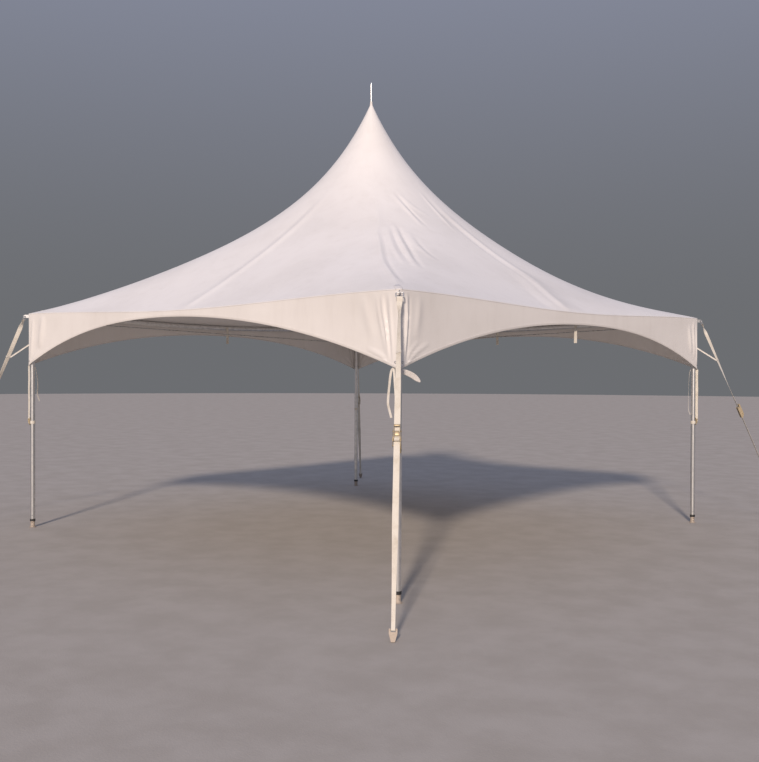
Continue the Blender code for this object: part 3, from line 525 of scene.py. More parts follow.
def webbingFinish(name, clean, worn, rib=0.0022):
    # Woven strap: ribs across in a herringbone of two slants, with painted shade in the grooves, fuzzy
    # and a little soiled
    finish = Finish(name)
    across, along, flat = finish.cut()
    slant = ((across * (1 / 0.011)).part() - 0.5).size() * 0.011
    ribs = ((along + slant) * (2 * math.pi / rib)).wave() * 0.5 + 0.5
    yarns = (across * (2 * math.pi / 0.0014)).wave() * 0.5 + 0.5
    weave = ribs * 0.7 + yarns * 0.3
    place = finish.place()
    soil = finish.noise(place, 9.0, 5.0, 0.65).between(0.42, 0.78)
    fuzz = finish.noise(place, 420.0, 2.0, 0.6)
    colour = finish.blend(soil * 0.75, clean, worn)
    # Painted shade: where the weave is low, in its grooves, the colour is blended 30 % towards dark brown
    colour = finish.blend(weave, finish.blend(0.30, colour, (0.25, 0.22, 0.18)), colour)
    return finish.set(
        Base_Color=colour,
        Roughness=fuzz * 0.15 + 0.72,
        Sheen_Weight=0.25,
        Sheen_Roughness=0.5,
        Normal=finish.relief(weave * 0.00035 + fuzz * 0.00012, 1.0))


def tubeFinish(name, bright, dull):
    # Drawn aluminium: fine streaks along the tube, cloudy oxide and a few scuffs
    finish = Finish(name, metallic=1.0)
    _, _, flat = finish.cut()
    streaky = finish.node("ShaderNodeMapping", {}, {"Vector": flat, "Scale": (900.0, 5.0, 1.0)})
    streaks = finish.noise(streaky, 1.0, 3.0, 0.6)
    place = finish.place()
    oxide = finish.noise(place, 14.0, 5.0, 0.62).between(0.35, 0.75)
    scuffs = finish.noise(finish.place((30.0, 30.0, 6.0)), 1.0, 6.0, 0.7).between(0.60, 0.68)
    colour = finish.blend(oxide * 0.7 + scuffs * 0.3, bright, dull)
    return finish.set(
        Base_Color=colour,
        Roughness=streaks * 0.14 + oxide * 0.12 + scuffs * 0.08 + 0.26,
        Normal=finish.relief(streaks * 0.00012 + scuffs * 0.0001, 1.0))


def zincFinish(name, pale, dark, grain, roughness, metallic=0.9):
    # Zinc-coated steel: flat crystals of several shades, each with its own gloss
    finish = Finish(name, metallic)
    place = finish.place()
    cells = finish.node(
        "ShaderNodeTexVoronoi", {"feature": "F1"}, {"Vector": place, "Scale": grain}, output=1)
    crystal = finish.node("ShaderNodeSeparateColor", {}, {"Color": cells})
    cloud = finish.noise(place, 22.0, 5.0, 0.65)
    rust = finish.noise(place, 60.0, 6.0, 0.7).between(0.66, 0.74)
    colour = finish.blend(crystal * 0.6 + cloud * 0.4, dark, pale)
    colour = finish.blend(rust * 0.6, colour, (0.28, 0.15, 0.08))
    return finish.set(
        Base_Color=colour,
        Roughness=crystal * 0.14 + cloud * 0.12 + rust * 0.2 + (roughness - 0.12),
        Normal=finish.relief(cloud * 0.0006 + crystal * 0.0001, 1.0))


def cableFinish(name):
    # Drawn wires: the strands are in the shape, the wires in the relief
    finish = Finish(name, metallic=1.0)
    across, along, _ = finish.cut()
    wires = ((across * 3.0 + along * 0.8) * (2 * math.pi / 0.0011)).wave() * 0.5 + 0.5
    grime = finish.noise(finish.place(), 30.0, 4.0, 0.6).between(0.4, 0.75)
    return finish.set(
        Base_Color=finish.blend(grime, (0.50, 0.51, 0.52), (0.20, 0.19, 0.18)),
        Roughness=grime * 0.25 + 0.32,
        Normal=finish.relief(wires * 0.0003, 1.0))


def plainFinish(name, colour, shade, roughness, grain=160.0, patches=18.0):
    # Moulded rubber or plastic with a fine grain and dusty patches
    finish = Finish(name)
    place = finish.place()
    dust = finish.noise(place, patches, 4.0, 0.6).between(0.45, 0.8)
    pebble = finish.noise(place, grain, 2.0, 0.5)
    return finish.set(
        Base_Color=finish.blend(dust, colour, shade),
        Roughness=dust * 0.2 + roughness,
        Normal=finish.relief(pebble * 0.0003, 1.0))


finishes = {
    "roof": vinylFinish("coated_fabric_roof", (0.86, 0.84, 0.825), (0.74, 0.715, 0.69), 0.50, seams=True),
    "valance": vinylFinish("coated_fabric_valance", (0.86, 0.83, 0.80), (0.73, 0.695, 0.66), 0.50, hem=True),
    "webbing": webbingFinish("cream_webbing", (0.84, 0.80, 0.71), (0.60, 0.54, 0.43)),
    "tie": webbingFinish("narrow_webbing", (0.82, 0.79, 0.73), (0.55, 0.50, 0.42), 0.0018),
    "tube": tubeFinish("drawn_aluminium", (0.86, 0.86, 0.85), (0.60, 0.60, 0.59)),
    "steel": zincFinish("galvanised_steel", (0.66, 0.67, 0.68), (0.38, 0.39, 0.40), 90.0, 0.42),
    "dustySteel": zincFinish("dusty_steel", (0.56, 0.48, 0.40), (0.34, 0.29, 0.24), 70.0, 0.66, 0.3),
    "yellowZinc": zincFinish("yellow_zinc", (0.50, 0.42, 0.29), (0.34, 0.27, 0.16), 240.0, 0.46, 0.55),
    "cable": cableFinish("wire_rope"),
    # Black rubber for the leg's collar, also used as painted shade for the feet's adjusting holes
    "rubber_and_hole_shade": plainFinish("black_rubber_and_hole_shade", (0.022, 0.022, 0.024), (0.11, 0.10, 0.09), 0.55),
    "tab": plainFinish("speckled_tab", (0.66, 0.63, 0.60), (0.26, 0.25, 0.24), 0.62, 300.0, 130.0),
}
print("finishes made")


# Loose webbing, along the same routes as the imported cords

looseStraps = {
    "eave_strap_front_right": {"width": 0.038, "lay": "hanging", "flatWay": (0.12, 1.0, 0.0), "route": [
        (2.9825, 0.020, 2.612), (2.9815, 0.020, 2.550), (2.9830, 0.021, 2.470),
        (2.9860, 0.018, 2.390), (2.9830, 0.020, 2.303)]},
    "eave_strap_back_right": {"width": 0.038, "lay": "hanging", "flatWay": (0.752, 0.659, 0.0), "route": [
        (-0.068, 2.9819, 2.625), (-0.068, 2.9790, 2.560), (-0.070, 2.9810, 2.470), (-0.066, 2.9790, 2.386)]},
    "eave_strap_back_left": {"width": 0.038, "lay": "hanging", "flatWay": (0.1, 1.0, 0.0), "route": [
        (-2.9820, 0.117, 2.628), (-2.9790, 0.117, 2.560), (-2.9810, 0.120, 2.470), (-2.9780, 0.116, 2.381)]},
    "tie_strap_front": {"width": 0.020, "lay": "hanging", "flatWay": (0.6, 0.8, 0.0), "route": [
        (2.9948, -3.0420, 2.022), (2.976, -3.058, 2.003), (2.967, -3.066, 1.950), (2.961, -3.072, 1.870),
        (2.954, -3.078, 1.770), (2.953, -3.079, 1.710), (2.963, -3.070, 1.650), (2.974, -3.060, 1.592)]},
    "tie_strap_left": {"width": 0.020, "lay": "hanging", "flatWay": (0.7, -0.7, 0.0), "route": [
        (-2.9933, -2.9966, 2.022), (-2.986, -2.990, 1.970), (-2.975, -2.980, 1.880), (-2.970, -2.976, 1.790),
        (-2.975, -2.980, 1.700), (-2.970, -2.976, 1.655), (-2.954, -2.962, 1.592)]},
    "tie_strap_right": {"width": 0.020, "lay": "hanging", "flatWay": (0.7, -0.7, 0.0), "route": [
        (2.9940, 2.9973, 2.022), (2.983, 2.988, 1.985), (2.976, 2.982, 1.900), (2.973, 2.979, 1.750),
        (2.973, 2.978, 1.600), (2.973, 2.979, 1.510), (2.981, 2.986, 1.455), (2.992, 2.995, 1.425)]},
}
looseWebbing = {"thickness": 0.0018, "spacing": 0.012, "turnPerMetre": 70.0}


def looseStrapPart(values, common):
    # Flat band along the route; its flat side turns slowly on the way down
    route = smoothRoute(values["route"], common["spacing"])
    turn = (np.radians(common["turnPerMetre"]) * distances(route))[:, None]
    wide = unit(floats(values["flatWay"]))
    side = wide * np.cos(turn) + np.cross(-upward, wide) * np.sin(turn)
    return route, sweep(route, flatOval(values["width"], common["thickness"], 20), side)


for name, values in looseStraps.items():
    route, part = looseStrapPart(values, looseWebbing)
    strap = addPiece(name + "_webbing", [part], "tie" if name.startswith("tie") else "webbing", [name])
print("loose straps made")


# Roof cover: one sheet over all four sides

plan = {
    "sideLength": 6.13,
    "eaveHeight": 2.695,
    "peakHeight": 5.44,
    "eaveSag": 0.065,
    "cornerRadius": 0.04,
    "apexOpening": 0.0145,
    "straightShare": 0.694,
    "straightEase": 0.722,
    "peakReach": 0.1285,
    "squaringPower": 1.15,
    "hipSlack": {"front": 0.0, "right": 0.100, "back": 0.012, "left": -0.030},
}
sideEnds = {
    "front_right": ("front", "right"), "back_right": ("right", "back"),
    "back_left": ("back", "left"), "front_left": ("left", "front"),
}
halfSide = plan["sideLength"] / 2
cornerRatio = math.sqrt(2) - (math.sqrt(2) - 1) * plan["cornerRadius"] / halfSide
hipLength = cornerRatio * halfSide


def hipDrop(distance):
    # How far the hip line lies below the peak: a long gentle part and a steep part that dies away from
    # the mast
    share = distance / hipLength
    ease, reach = plan["straightEase"], plan["peakReach"]
    gentle = (share - ease * share ** 2 / 2) / (1 - ease / 2)
    steep = (1 - np.exp(-share / reach)) / (1 - math.exp(-1 / reach))
    rise = plan["peakHeight"] - plan["eaveHeight"]
    return rise * (plan["straightShare"] * gentle + (1 - plan["straightShare"]) * steep)


def roofFace(level, across, side=None):
    # The +X face. level is 0 at the peak and 1 at the eave, across -1 to 1 between the hips. A level
    # section is a superellipse, round near the peak and square at the eave. Each hip's slack is greatest
    # six tenths of the way down.
    ratio = 1 + (cornerRatio - 1) * level ** plan["squaringPower"]
    halfWidth = level * hipLength / ratio
    exponent = 1 / (0.5 - np.log2(ratio))
    angle = level ** 2 * np.arctan(across) + (1 - level ** 2) * across * math.pi / 4
    radius = halfWidth * (np.cos(angle) ** exponent + np.abs(np.sin(angle)) ** exponent) ** (-1 / exponent)
    sag = plan["eaveSag"] * level ** 4 * (1 + np.cos(math.pi * across)) / 2
    low, high = (plan["hipSlack"][corner] for corner in sideEnds[side]) if side else (0.0, 0.0)
    slack = np.where(across > 0, high, low) * np.sin(across * math.pi / 2) ** 2
    slack = slack * level ** 3 * (1 - level) ** 2 / (0.6 ** 3 * 0.4 ** 2)
    height = plan["peakHeight"] - hipDrop(level * hipLength) - sag - slack
    height = np.broadcast_to(height, radius.shape)
    return np.stack([radius * np.cos(angle), radius * np.sin(angle), height], axis=-1)


cover = {
    "rows": 100,
    # Columns of each side's two halves, and how evenly they lie between the hip and the middle
    "columns": {
        "front_right": (105, 55), "back_right": (38, 38), "back_left": (34, 34), "front_left": (38, 105)},
    "evenness": 0.7,
    "thickness": 0.0012,
    "flatSize": (7.4, 7.4),
    "flatArea": 45.0,
    "lip": [(0.0010, -0.0004), (0.0018, -0.0018), (0.0019, -0.004), (0.0018, -0.009), (0.0014, -0.0102)],
    "billow": 0.0016,
    "hipFold": (0.012, 0.055),
    "middleFold": (0.013, 0.085),
    # How far the fold strays from the middle on its way down, and how much wider on each hand, higher and
    # crisper it grows
    "middleDrift": {"front_right": 0.35},
    "middleSwell": {"front_right": (2.0, 1.9, 2.1, 0.85)},
    "rampReach": 3.9,
    "cornerWrinkle": 0.0022,
    "patchWidth": 0.035,
    "patchRise": 0.24,
    "patchColumns": 4,
    "patchLift": 0.0012,
    "patchThickness": 0.0009,
    "patchHemReach": 0.1,
    "patchFullness": 1.85,
    # Folds as plan routes, with height and width; a height below 0 is a crease
    "folds": [
        ([(1.12, -1.18), (1.35, -1.42), (1.62, -1.69), (2.03, -2.11), (2.42, -2.45), (2.84, -2.79)],
         0.017, 0.038),
        ([(1.19, -1.16), (1.41, -1.41), (1.66, -1.65), (2.06, -2.05), (2.43, -2.38), (2.80, -2.70)],
         -0.014, 0.032),
        ([(1.292, -1.17), (1.454, -1.332), (1.724, -1.588), (1.984, -1.808), (2.232, -2.0)], 0.013, 0.032),
        ([(1.348, -1.14), (1.499, -1.298), (1.764, -1.533), (2.024, -1.743), (2.26, -1.93)], -0.010, 0.024),
        ([(1.29, -1.07), (1.53, -1.275), (1.80, -1.50), (2.07, -1.73), (2.36, -1.97)], 0.017, 0.038),
        ([(1.348, -1.05), (1.567, -1.235), (1.84, -1.445), (2.11, -1.675), (2.38, -1.89)], -0.014, 0.030),
        ([(1.50, -1.06), (1.79, -1.28), (2.02, -1.39), (2.20, -1.43)], 0.008, 0.042),
        ([(1.62, -1.11), (1.83, -1.24), (2.05, -1.34), (2.21, -1.37)], -0.005, 0.028),
        ([(1.60, -1.79), (1.95, -2.14), (2.34, -2.53), (2.62, -2.78)], 0.010, 0.060),
        ([(1.66, -1.90), (1.96, -2.20), (2.35, -2.58), (2.62, -2.82)], -0.008, 0.040),
        ([(0.83, -0.55), (1.03, -0.60), (1.18, -0.64), (1.43, -0.73)], 0.009, 0.030),
        ([(0.85, -0.50), (1.04, -0.55), (1.19, -0.59), (1.45, -0.65)], -0.007, 0.024),
        ([(0.84, -0.47), (1.09, -0.46), (1.25, -0.36)], 0.006, 0.028),
        ([(0.84, -0.04), (1.06, -0.08), (1.26, -0.12), (1.48, -0.18)], 0.008, 0.032),
        # Lesser folds above the other three corners
        ([(1.25, 1.32), (1.55, 1.66), (2.00, 2.11), (2.50, 2.62)], 0.012, 0.055),
        ([(1.52, 1.30), (1.86, 1.62), (2.30, 2.05)], 0.010, 0.045),
        ([(-1.30, 1.24), (-1.62, 1.57), (-2.10, 2.05), (-2.55, 2.52)], 0.012, 0.050),
        ([(-1.15, 1.42), (-1.48, 1.80), (-1.95, 2.28)], 0.010, 0.045),
        ([(-1.28, -1.22), (-1.66, -1.58), (-2.15, -2.08), (-2.60, -2.55)], 0.010, 0.055),
    ],
}


def foldRise(points, folds):
    # Height that soft folds add. Across a fold it falls off as a bell curve of the distance to the
    # route's nearest stretch, and along it as a half sine.
    rise = np.zeros(points.shape[:-1])
    for route, height, width in folds:
        line = smoothRoute(route, 0.03)
        spots = points[..., :line.shape[1]]
        nearest = np.full(rise.shape, np.inf)
        share = np.zeros(rise.shape)
        for step, (start, end) in enumerate(zip(line, line[1:])):
            way = end - start
            part = np.clip((spots - start) @ way / (way @ way), 0.0, 1.0)
            gap = np.linalg.norm(spots - start - part[..., None] * way, axis=-1)
            share = np.where(gap < nearest, (step + part) / (len(line) - 1), share)
            nearest = np.minimum(gap, nearest)
        rise += height * np.sin(math.pi * share) ** 0.7 * np.exp(-(nearest / width) ** 2)
    return rise


def outwardNormals(grid, around):
    rows = np.gradient(grid, axis=0)
    columns = (np.roll(grid, -1, axis=1) - np.roll(grid, 1, axis=1)) if around else np.gradient(grid, axis=1)
    return unit(np.cross(rows, columns))


def coverGrid(values):
    # The sheet's rows run down from the finial's hole and its columns round all four sides. The fields
    # are the distances to the hip, to the face's middle and to the fold beside it, and the fold's four
    # growths.
    firstLevel = plan["apexOpening"] / hipLength
    share = np.linspace(0.0, 1.0, values["rows"])[:, None]
    level = firstLevel + (1 - firstLevel) * share ** 1.35
    grids, fields = [], []
    for side, turn in sideTurns.items():
        first, second = (np.arange(count) / count for count in values["columns"][side])
        first, second = (half * values["evenness"] + half ** 2 * (1 - values["evenness"])
                         for half in (first, second[::-1]))
        across = np.concatenate([first - 1, 1 - second])[None, :]
        hip, middle = (np.linalg.norm(roofFace(level, across) - roofFace(level, spot), axis=-1)
                       for spot in (np.sign(across), across * 0.0))
        drift = values["middleDrift"].get(side, 0.0) * eased(level, 0.62, 0.98)
        growth = eased(level, 0.50, 0.85) * np.ones(across.shape)
        swells = (growth * swell for swell in values["middleSwell"].get(side, (0.0, 0.0, 0.0, 0.0)))
        grids.append(turnAbout(roofFace(level, across, side), turn)[:, :-1])
        fields.append(np.stack([hip, middle, middle * np.sign(across) + drift, *swells])[..., :-1])
    return np.concatenate(grids, axis=1), level, np.concatenate(fields, axis=2)


def coverRise(grid, level, fields, values):
    # Tension in the cloth: a soft ridge down each hip, a valley with a ridge beside it down each face's
    # middle, the folds that run up from the front corner, small wrinkles at the corners and a slow billow
    hipReach, _, foldReach, innerSwell, outerSwell, gain, crisp = fields
    height, width = values["hipFold"]
    window = eased(level, 0.22, 0.45) * (1 - eased(level, 0.86, 1.0))
    rise = height * window * np.exp(-(hipReach / width) ** 2)
    height, width = values["middleFold"]
    window = eased(level, 0.16, 0.45) * (1 - 0.5 * eased(level, 0.92, 1.0))
    valley = np.exp(-((foldReach + 0.15 * width) / (0.5 * width)) ** 2)
    slope = 0.7 + np.where(foldReach < width, innerSwell, outerSwell)
    ridge = np.exp(-(np.abs(foldReach - width) / (slope * width)) ** (2.0 - crisp))
    # Where the fold grows crisp, its hand towards the middle is a straight ramp
    ramp = np.clip(1 - (width - foldReach) / (values["rampReach"] * width), 0.0, 1.0)
    ridge = np.where(foldReach < width, ridge + (ramp - ridge) * crisp, ridge)
    rise = rise + height * window * (ridge * (1 + gain) - 0.5 * valley)
    rise = rise + foldRise(grid, values["folds"])
    for turn in (0.0, 90.0, 180.0, 270.0):
        corner = turnAbout(np.array([halfSide, halfSide, 0.0]), turn)[:2]
        offset = grid[..., :2] - corner
        gap = np.linalg.norm(offset, axis=-1)
        bearing = np.arctan2(offset[..., 1], offset[..., 0])
        ripple = np.sin(bearing * 17 + turn) * np.sin(bearing * 9 - turn)
        rise = rise + values["cornerWrinkle"] * ripple * eased(gap, 0.05, 0.25) * np.exp(-(gap / 0.45) ** 2)
    angle = np.arctan2(grid[..., 1], grid[..., 0])
    reach = np.linalg.norm(grid[..., :2], axis=-1)
    slow = np.sin(angle * 8 + 1.3) * np.sin(reach * 3.1) + np.sin(angle * 12 + reach * 1.7) * 0.6
    rise = rise + values["billow"] * slow * eased(level, 0.2, 0.4)
    return rise * (1 - eased(level, 0.985, 1.0)) * eased(level, 0.02, 0.06)


def patchGrid(grid, hipReach, column, values):
    # The cover's own surface on both sides of one hip, from patchRise above the corner down over the lip.
    # A row is sampled at even distances from the hip, and the upper end is rounded.
    columns = np.arange(-values["patchColumns"], values["patchColumns"] + 1)
    around = (column + columns) % grid.shape[1]
    corner = grid[values["rows"] - 1, column]
    rise = np.linalg.norm(grid[:, column] - corner, axis=1)
    rows = np.flatnonzero((rise < values["patchRise"]) | (np.arange(len(grid)) >= values["rows"]))
    shut = np.sqrt(np.clip((rise[rows[0]] - rise[rows] + 0.012) / 0.07, 0.0, 1.0))
    shut = np.maximum.accumulate(shut)[:, None] * np.linspace(-1.0, 1.0, 9) * values["patchWidth"]
    reach = hipReach[rows][:, around] * np.sign(columns)
    place = np.stack([np.interp(wanted, known, columns) for wanted, known in zip(shut, reach)])
    low = np.floor(place).astype(int)
    part = (place - low)[..., None]
    first = grid[rows[:, None], (column + low) % grid.shape[1]]
    second = grid[rows[:, None], (column + low + 1) % grid.shape[1]]
    surface = first * (1 - part) + second * part
    return surface + outwardNormals(surface, False) * values["patchLift"]


def addPatches(grid, hipReach, values):
    firsts = np.cumsum([0] + [sum(values["columns"][side]) - 1 for side in sideTurns])
    for corner, column in zip(cornerTurns, firsts):
        surface = patchGrid(grid, hipReach, column, values)
        piece = addPiece("corner_patch_" + corner, [gridPart(surface)], "valance", sharp=60.0)
        addField(piece, "hemReach", np.full(len(piece.data.vertices), values["patchHemReach"]))
        addThickness(piece, values["patchThickness"])


def addCover(values):
    grid, level, fields = coverGrid(values)
    rise = coverRise(grid, level, fields, values)
    grid = grid + outwardNormals(grid, True) * rise[..., None]
    rim = grid[-1]
    outward = levelOutward(np.roll(rim, -1, axis=0) - np.roll(rim, 1, axis=0))
    lip = [rim + outward * out + upward * up for out, up in values["lip"]]
    grid = np.concatenate([grid, lip])
    hipReach, midReach = (
        np.concatenate([reach, np.repeat(reach[-1:], len(lip), axis=0)]) for reach in fields[:2])
    piece = addPiece("roof_cover", [gridPart(grid, around=True)], "roof",
                     ["roof_panel_" + side for side in sideTurns], sharp=60.0)
    addField(piece, "hipReach", hipReach)
    addField(piece, "midReach", midReach)
    addThickness(piece, values["thickness"])
    addPatches(grid, hipReach, values)


addCover(cover)
print("roof cover made")


# Valances

valances = {
    "rows": 30,
    "columns": 200,
    "evenness": 0.12,
    "thickness": 0.0012,
    "topGap": 0.002,
    "cornerDrop": {"front": 0.690, "right": 0.680, "back": 0.702, "left": 0.665},
    "middleDrop": {"front_right": 0.133, "back_right": 0.123, "back_left": 0.130, "front_left": 0.073},
    "skew": {"front_right": -0.012, "back_right": 0.022, "back_left": -0.010, "front_left": 0.028},
    "slit": 0.0023,
    "eyelet": [(0.006, -0.0026), (0.010, -0.0030), (0.012, -0.0020), (0.012, 0.0006), (0.010, 0.0018),
               (0.006, 0.0014)],
    "eyeletPlace": (0.028, 0.040),
    "hem": 0.026,
    "hemStep": 0.0012,
    "hemFold": 0.0008,
    # Pleats as routes of (distance from the corner, drop below it), with height and width
    "usualPleats": [
        ([(0.19, 0.03), (0.17, 0.20), (0.12, 0.42), (0.06, 0.63)], 0.015, 0.020),
        ([(0.10, 0.03), (0.09, 0.20), (0.065, 0.42), (0.03, 0.64)], 0.012, 0.015),
        ([(0.07, 0.64), (0.17, 0.55), (0.30, 0.48)], 0.009, 0.015),
        ([(0.33, 0.06), (0.31, 0.22), (0.27, 0.40)], 0.009, 0.050),
    ],
    "frontRightPleats": [
        ([(0.080, 0.01), (0.086, 0.18), (0.076, 0.36), (0.048, 0.65)], 0.018, 0.018),
        ([(0.122, 0.01), (0.126, 0.18), (0.110, 0.36), (0.078, 0.62)], -0.009, 0.013),
        ([(0.030, 0.06), (0.030, 0.20), (0.022, 0.40), (0.012, 0.63)], 0.010, 0.010),
        ([(0.06, 0.670), (0.20, 0.550), (0.40, 0.450)], 0.011, 0.014),
        ([(0.05, 0.655), (0.14, 0.530), (0.25, 0.445)], 0.009, 0.012),
        ([(0.26, 0.04), (0.25, 0.20), (0.21, 0.42)], 0.008, 0.040),
    ],
    "frontLeftPleats": [
        ([(0.190, 0.01), (0.172, 0.17), (0.132, 0.36), (0.095, 0.62)], 0.014, 0.017),
        ([(0.150, 0.02), (0.134, 0.20), (0.106, 0.40), (0.080, 0.60)], -0.007, 0.012),
        ([(0.100, 0.02), (0.088, 0.22), (0.068, 0.42), (0.052, 0.64)], 0.009, 0.017),
        ([(0.245, 0.02), (0.225, 0.17), (0.180, 0.36), (0.120, 0.59)], 0.009, 0.013),
        ([(0.10, 0.625), (0.22, 0.555), (0.36, 0.505)], 0.010, 0.014),
        ([(0.40, 0.05), (0.36, 0.20), (0.29, 0.42)], 0.008, 0.045),
    ],
    "leftEndPleats": [
        ([(0.36, 0.02), (0.33, 0.20), (0.27, 0.44)], 0.020, 0.055),
        ([(0.12, 0.05), (0.11, 0.25), (0.07, 0.56)], 0.013, 0.034),
        ([(0.07, 0.63), (0.18, 0.54), (0.30, 0.47)], 0.008, 0.018),
    ],
    "rightEndPleats": [
        ([(0.27, 0.10), (0.25, 0.25), (0.20, 0.47)], 0.017, 0.036),
        ([(0.14, 0.06), (0.14, 0.25), (0.10, 0.52)], 0.017, 0.028),
        ([(0.05, 0.08), (0.05, 0.30), (0.03, 0.60)], 0.012, 0.018),
        ([(0.19, 0.16), (0.12, 0.08), (0.07, 0.02)], 0.006, 0.012),
    ],
}


def valanceGrid(side, values):
    # Columns go round the eave from slit to slit and rows go down. The lower edge is a parabola from the
    # middle to each corner, plus skew x across x (1 - across squared), and the hem along it has its own
    # rows.
    even = np.linspace(-1.0, 1.0, values["columns"])
    evenness, hem, fold = values["evenness"], values["hem"], values["hemFold"]
    across = (evenness * even + (1 - evenness) * np.sin(even * math.pi / 2)) * (1 - values["slit"])
    rim = roofFace(np.array(1.0), across)
    middle = values["middleDrop"][side]
    top = rim[:, 2] - values["topGap"]
    low, high = (values["cornerDrop"][corner] for corner in sideEnds[side])
    lean = values["skew"][side] * 1.5 * math.sqrt(3) * across * (1 - across ** 2)
    bottom = rim[:, 2] - middle - (np.where(across > 0, high, low) - middle) * across ** 2 - lean
    share = np.linspace(0.0, 1.0, values["rows"])[:, None]
    rows = np.vstack([top + (bottom + hem - top) * share, bottom + hem - fold, bottom + fold, bottom])
    step = np.zeros(rows.shape)
    step[-3:] = values["hemStep"]
    step[-1] /= 2
    grid = np.empty((*rows.shape, 3))
    grid[..., :2] = rim[:, :2]
    grid[..., 2] = rows
    return grid, levelOutward(np.gradient(rim, axis=0)), step, rows - bottom


def valanceRise(grid, side, values):
    # Pleats at both ends, drawn in the plane of distance from the corner and drop below the eave corner
    run = distances(grid[0])
    drop = plan["eaveHeight"] - grid[..., 2]
    pleats = {
        "front_right": (values["frontRightPleats"], values["rightEndPleats"]),
        "front_left": (values["leftEndPleats"], values["frontLeftPleats"]),
    }.get(side, (values["usualPleats"], values["usualPleats"]))
    rise = np.zeros(drop.shape)
    for reach, folds in ((run, pleats[0]), (run[-1] - run, pleats[1])):
        flat = np.stack([np.broadcast_to(reach, drop.shape), drop], axis=-1)
        rise += foldRise(flat, folds) * eased(drop, 0.024, 0.085)
    slow = np.sin(run * 2.3 + len(side)) * np.sin(drop * 6.0) * 0.0025
    return rise + slow * eased(grid[:1, :, 2] - grid[..., 2], 0.03, 0.12)


def addValance(side, turn, values):
    grid, outward, step, hemReach = valanceGrid(side, values)
    rise = valanceRise(grid, side, values) + step
    grid = grid + outward[None] * rise[..., None]
    cloth = gridPart(turnAbout(grid, turn))
    piece = addPiece("valance_cloth_" + side, [cloth], "valance", ["valance_" + side], sharp=50.0)
    addField(piece, "hemReach", hemReach)
    addThickness(piece, values["thickness"])
    addEyelets(side, turn, grid, outward, values)


def addEyelets(side, turn, grid, outward, values):
    # A rolled steel ring at both lower corners, square to the cloth under it
    run = distances(grid[0])
    place, height = values["eyeletPlace"]
    parts = []
    for reach in (run, run[-1] - run):
        column = int(np.abs(reach - place).argmin())
        row = int(np.abs(grid[:, column, 2] - grid[-1, column, 2] - height).argmin())
        parts.append(turned(values["eyelet"], grid[row, column], outward[column], 24, hollow=True))
    addPiece("valance_eyelets_" + side, atCorner(parts, turn), "steel")


for side, turn in sideTurns.items():
    addValance(side, turn, valances)
print("valances made")


# Frame tubes and feet

pipes = {
    "diameter": 0.0603,
    "wall": 0.003,
    "sleeveWall": 0.0045,
    "sleeveLength": 0.22,
    "sleeveStop": 0.045,
    "gap": 0.0003,
    "footShow": 0.075,
    "footInsert": 0.25,
    "padRadius": 0.040,
    "padThickness": 0.008,
    # Steps out from the inner tube and up from the pad
    "padWeld": [(0.004, 0.0), (0.0025, 0.002), (0.0, 0.005)],
    "holeHeights": (0.026, 0.058),
    "holeRadius": 0.0054,
    "collarHeight": 0.030,
    "collarWall": 0.0026,
    "buttonHeight": 0.150,
    "buttonRing": 0.0062,
}
footLow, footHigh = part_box("foot_front")
legReach = math.hypot((footLow[0] + footHigh[0]) / 2, (footLow[1] + footHigh[1]) / 2)
legFoot = np.array([legReach, 0.0, 0.0])
frameHalf = legReach / math.sqrt(2)
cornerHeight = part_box("leg_front")[1][2] + pipes["sleeveStop"] + pipes["gap"]
cornerCentre = np.array([legReach, 0.0, cornerHeight])
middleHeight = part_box("eave_tube_front_right")[0][2] + pipes["diameter"] / 2
pipeRadius = pipes["diameter"] / 2
boreRadius = pipeRadius - pipes["wall"]
footRadius = boreRadius - pipes["gap"]
sleeveBore = pipeRadius + pipes["gap"]
sleeveRadius = sleeveBore + pipes["sleeveWall"]


def eavePipeParts():
    # The pipe's axis dips as a cosine between its two sleeves
    straight = frameHalf - pipes["sleeveLength"]
    end = frameHalf - pipes["sleeveStop"] - pipes["gap"]
    along = np.concatenate([[-end], np.linspace(-straight, straight, 49), [end]])
    share = np.minimum(np.abs(along) / straight, 1.0)
    dip = (cornerHeight - middleHeight) * (1 + np.cos(math.pi * share)) / 2
    path = np.column_stack([np.full_like(along, frameHalf), along, cornerHeight - dip])
    ring = np.insert(circle(1.0, 40), 1, 0.0, axis=1)
    outer, inner = (path[:, None] + ring * radius for radius in (pipeRadius, boreRadius))
    return [gridPart(np.concatenate([outer, inner[::-1]]), around=True, along=True)]


def legParts():
    top = cornerHeight - pipes["sleeveStop"] - pipes["gap"]
    return [tube(legFoot + upward * pipes["footShow"], legFoot + upward * top, pipeRadius, boreRadius)]


def footParts():
    # Pad, its weld and the inner tube
    pad, thick = pipes["padRadius"], pipes["padThickness"]
    return [turned([
        (pad - 0.001, 0.0), (pad, 0.001), (pad, thick - 0.002), (pad - 0.002, thick),
        *((footRadius + out, thick + up) for out, up in pipes["padWeld"]),
        (footRadius, pipes["footShow"] + pipes["footInsert"])], legFoot)]


def footHoleShadeParts():
    # Painted shade for the adjusting holes: dark discs just proud of the inner tube, where the holes' insides
    # lie in shade
    radius = pipes["holeRadius"]
    profile = [(radius, 0.0), (radius, 0.0026), (radius - 0.0014, 0.0027)]
    return [turned(profile, np.array([legReach, way * (footRadius - 0.0022), height]), sideways * way, 20)
            for height in pipes["holeHeights"] for way in (-1.0, 1.0)]


def collarParts():
    inner = pipeRadius + 0.0002
    outer = inner + pipes["collarWall"]
    high, edge = pipes["collarHeight"], 0.001
    return [turned([
        (inner, 0.0), (outer - edge, 0.0), (outer, edge), (outer, high - edge), (outer - edge, high),
        (inner, high),
    ], legFoot + upward * pipes["footShow"], hollow=True)]


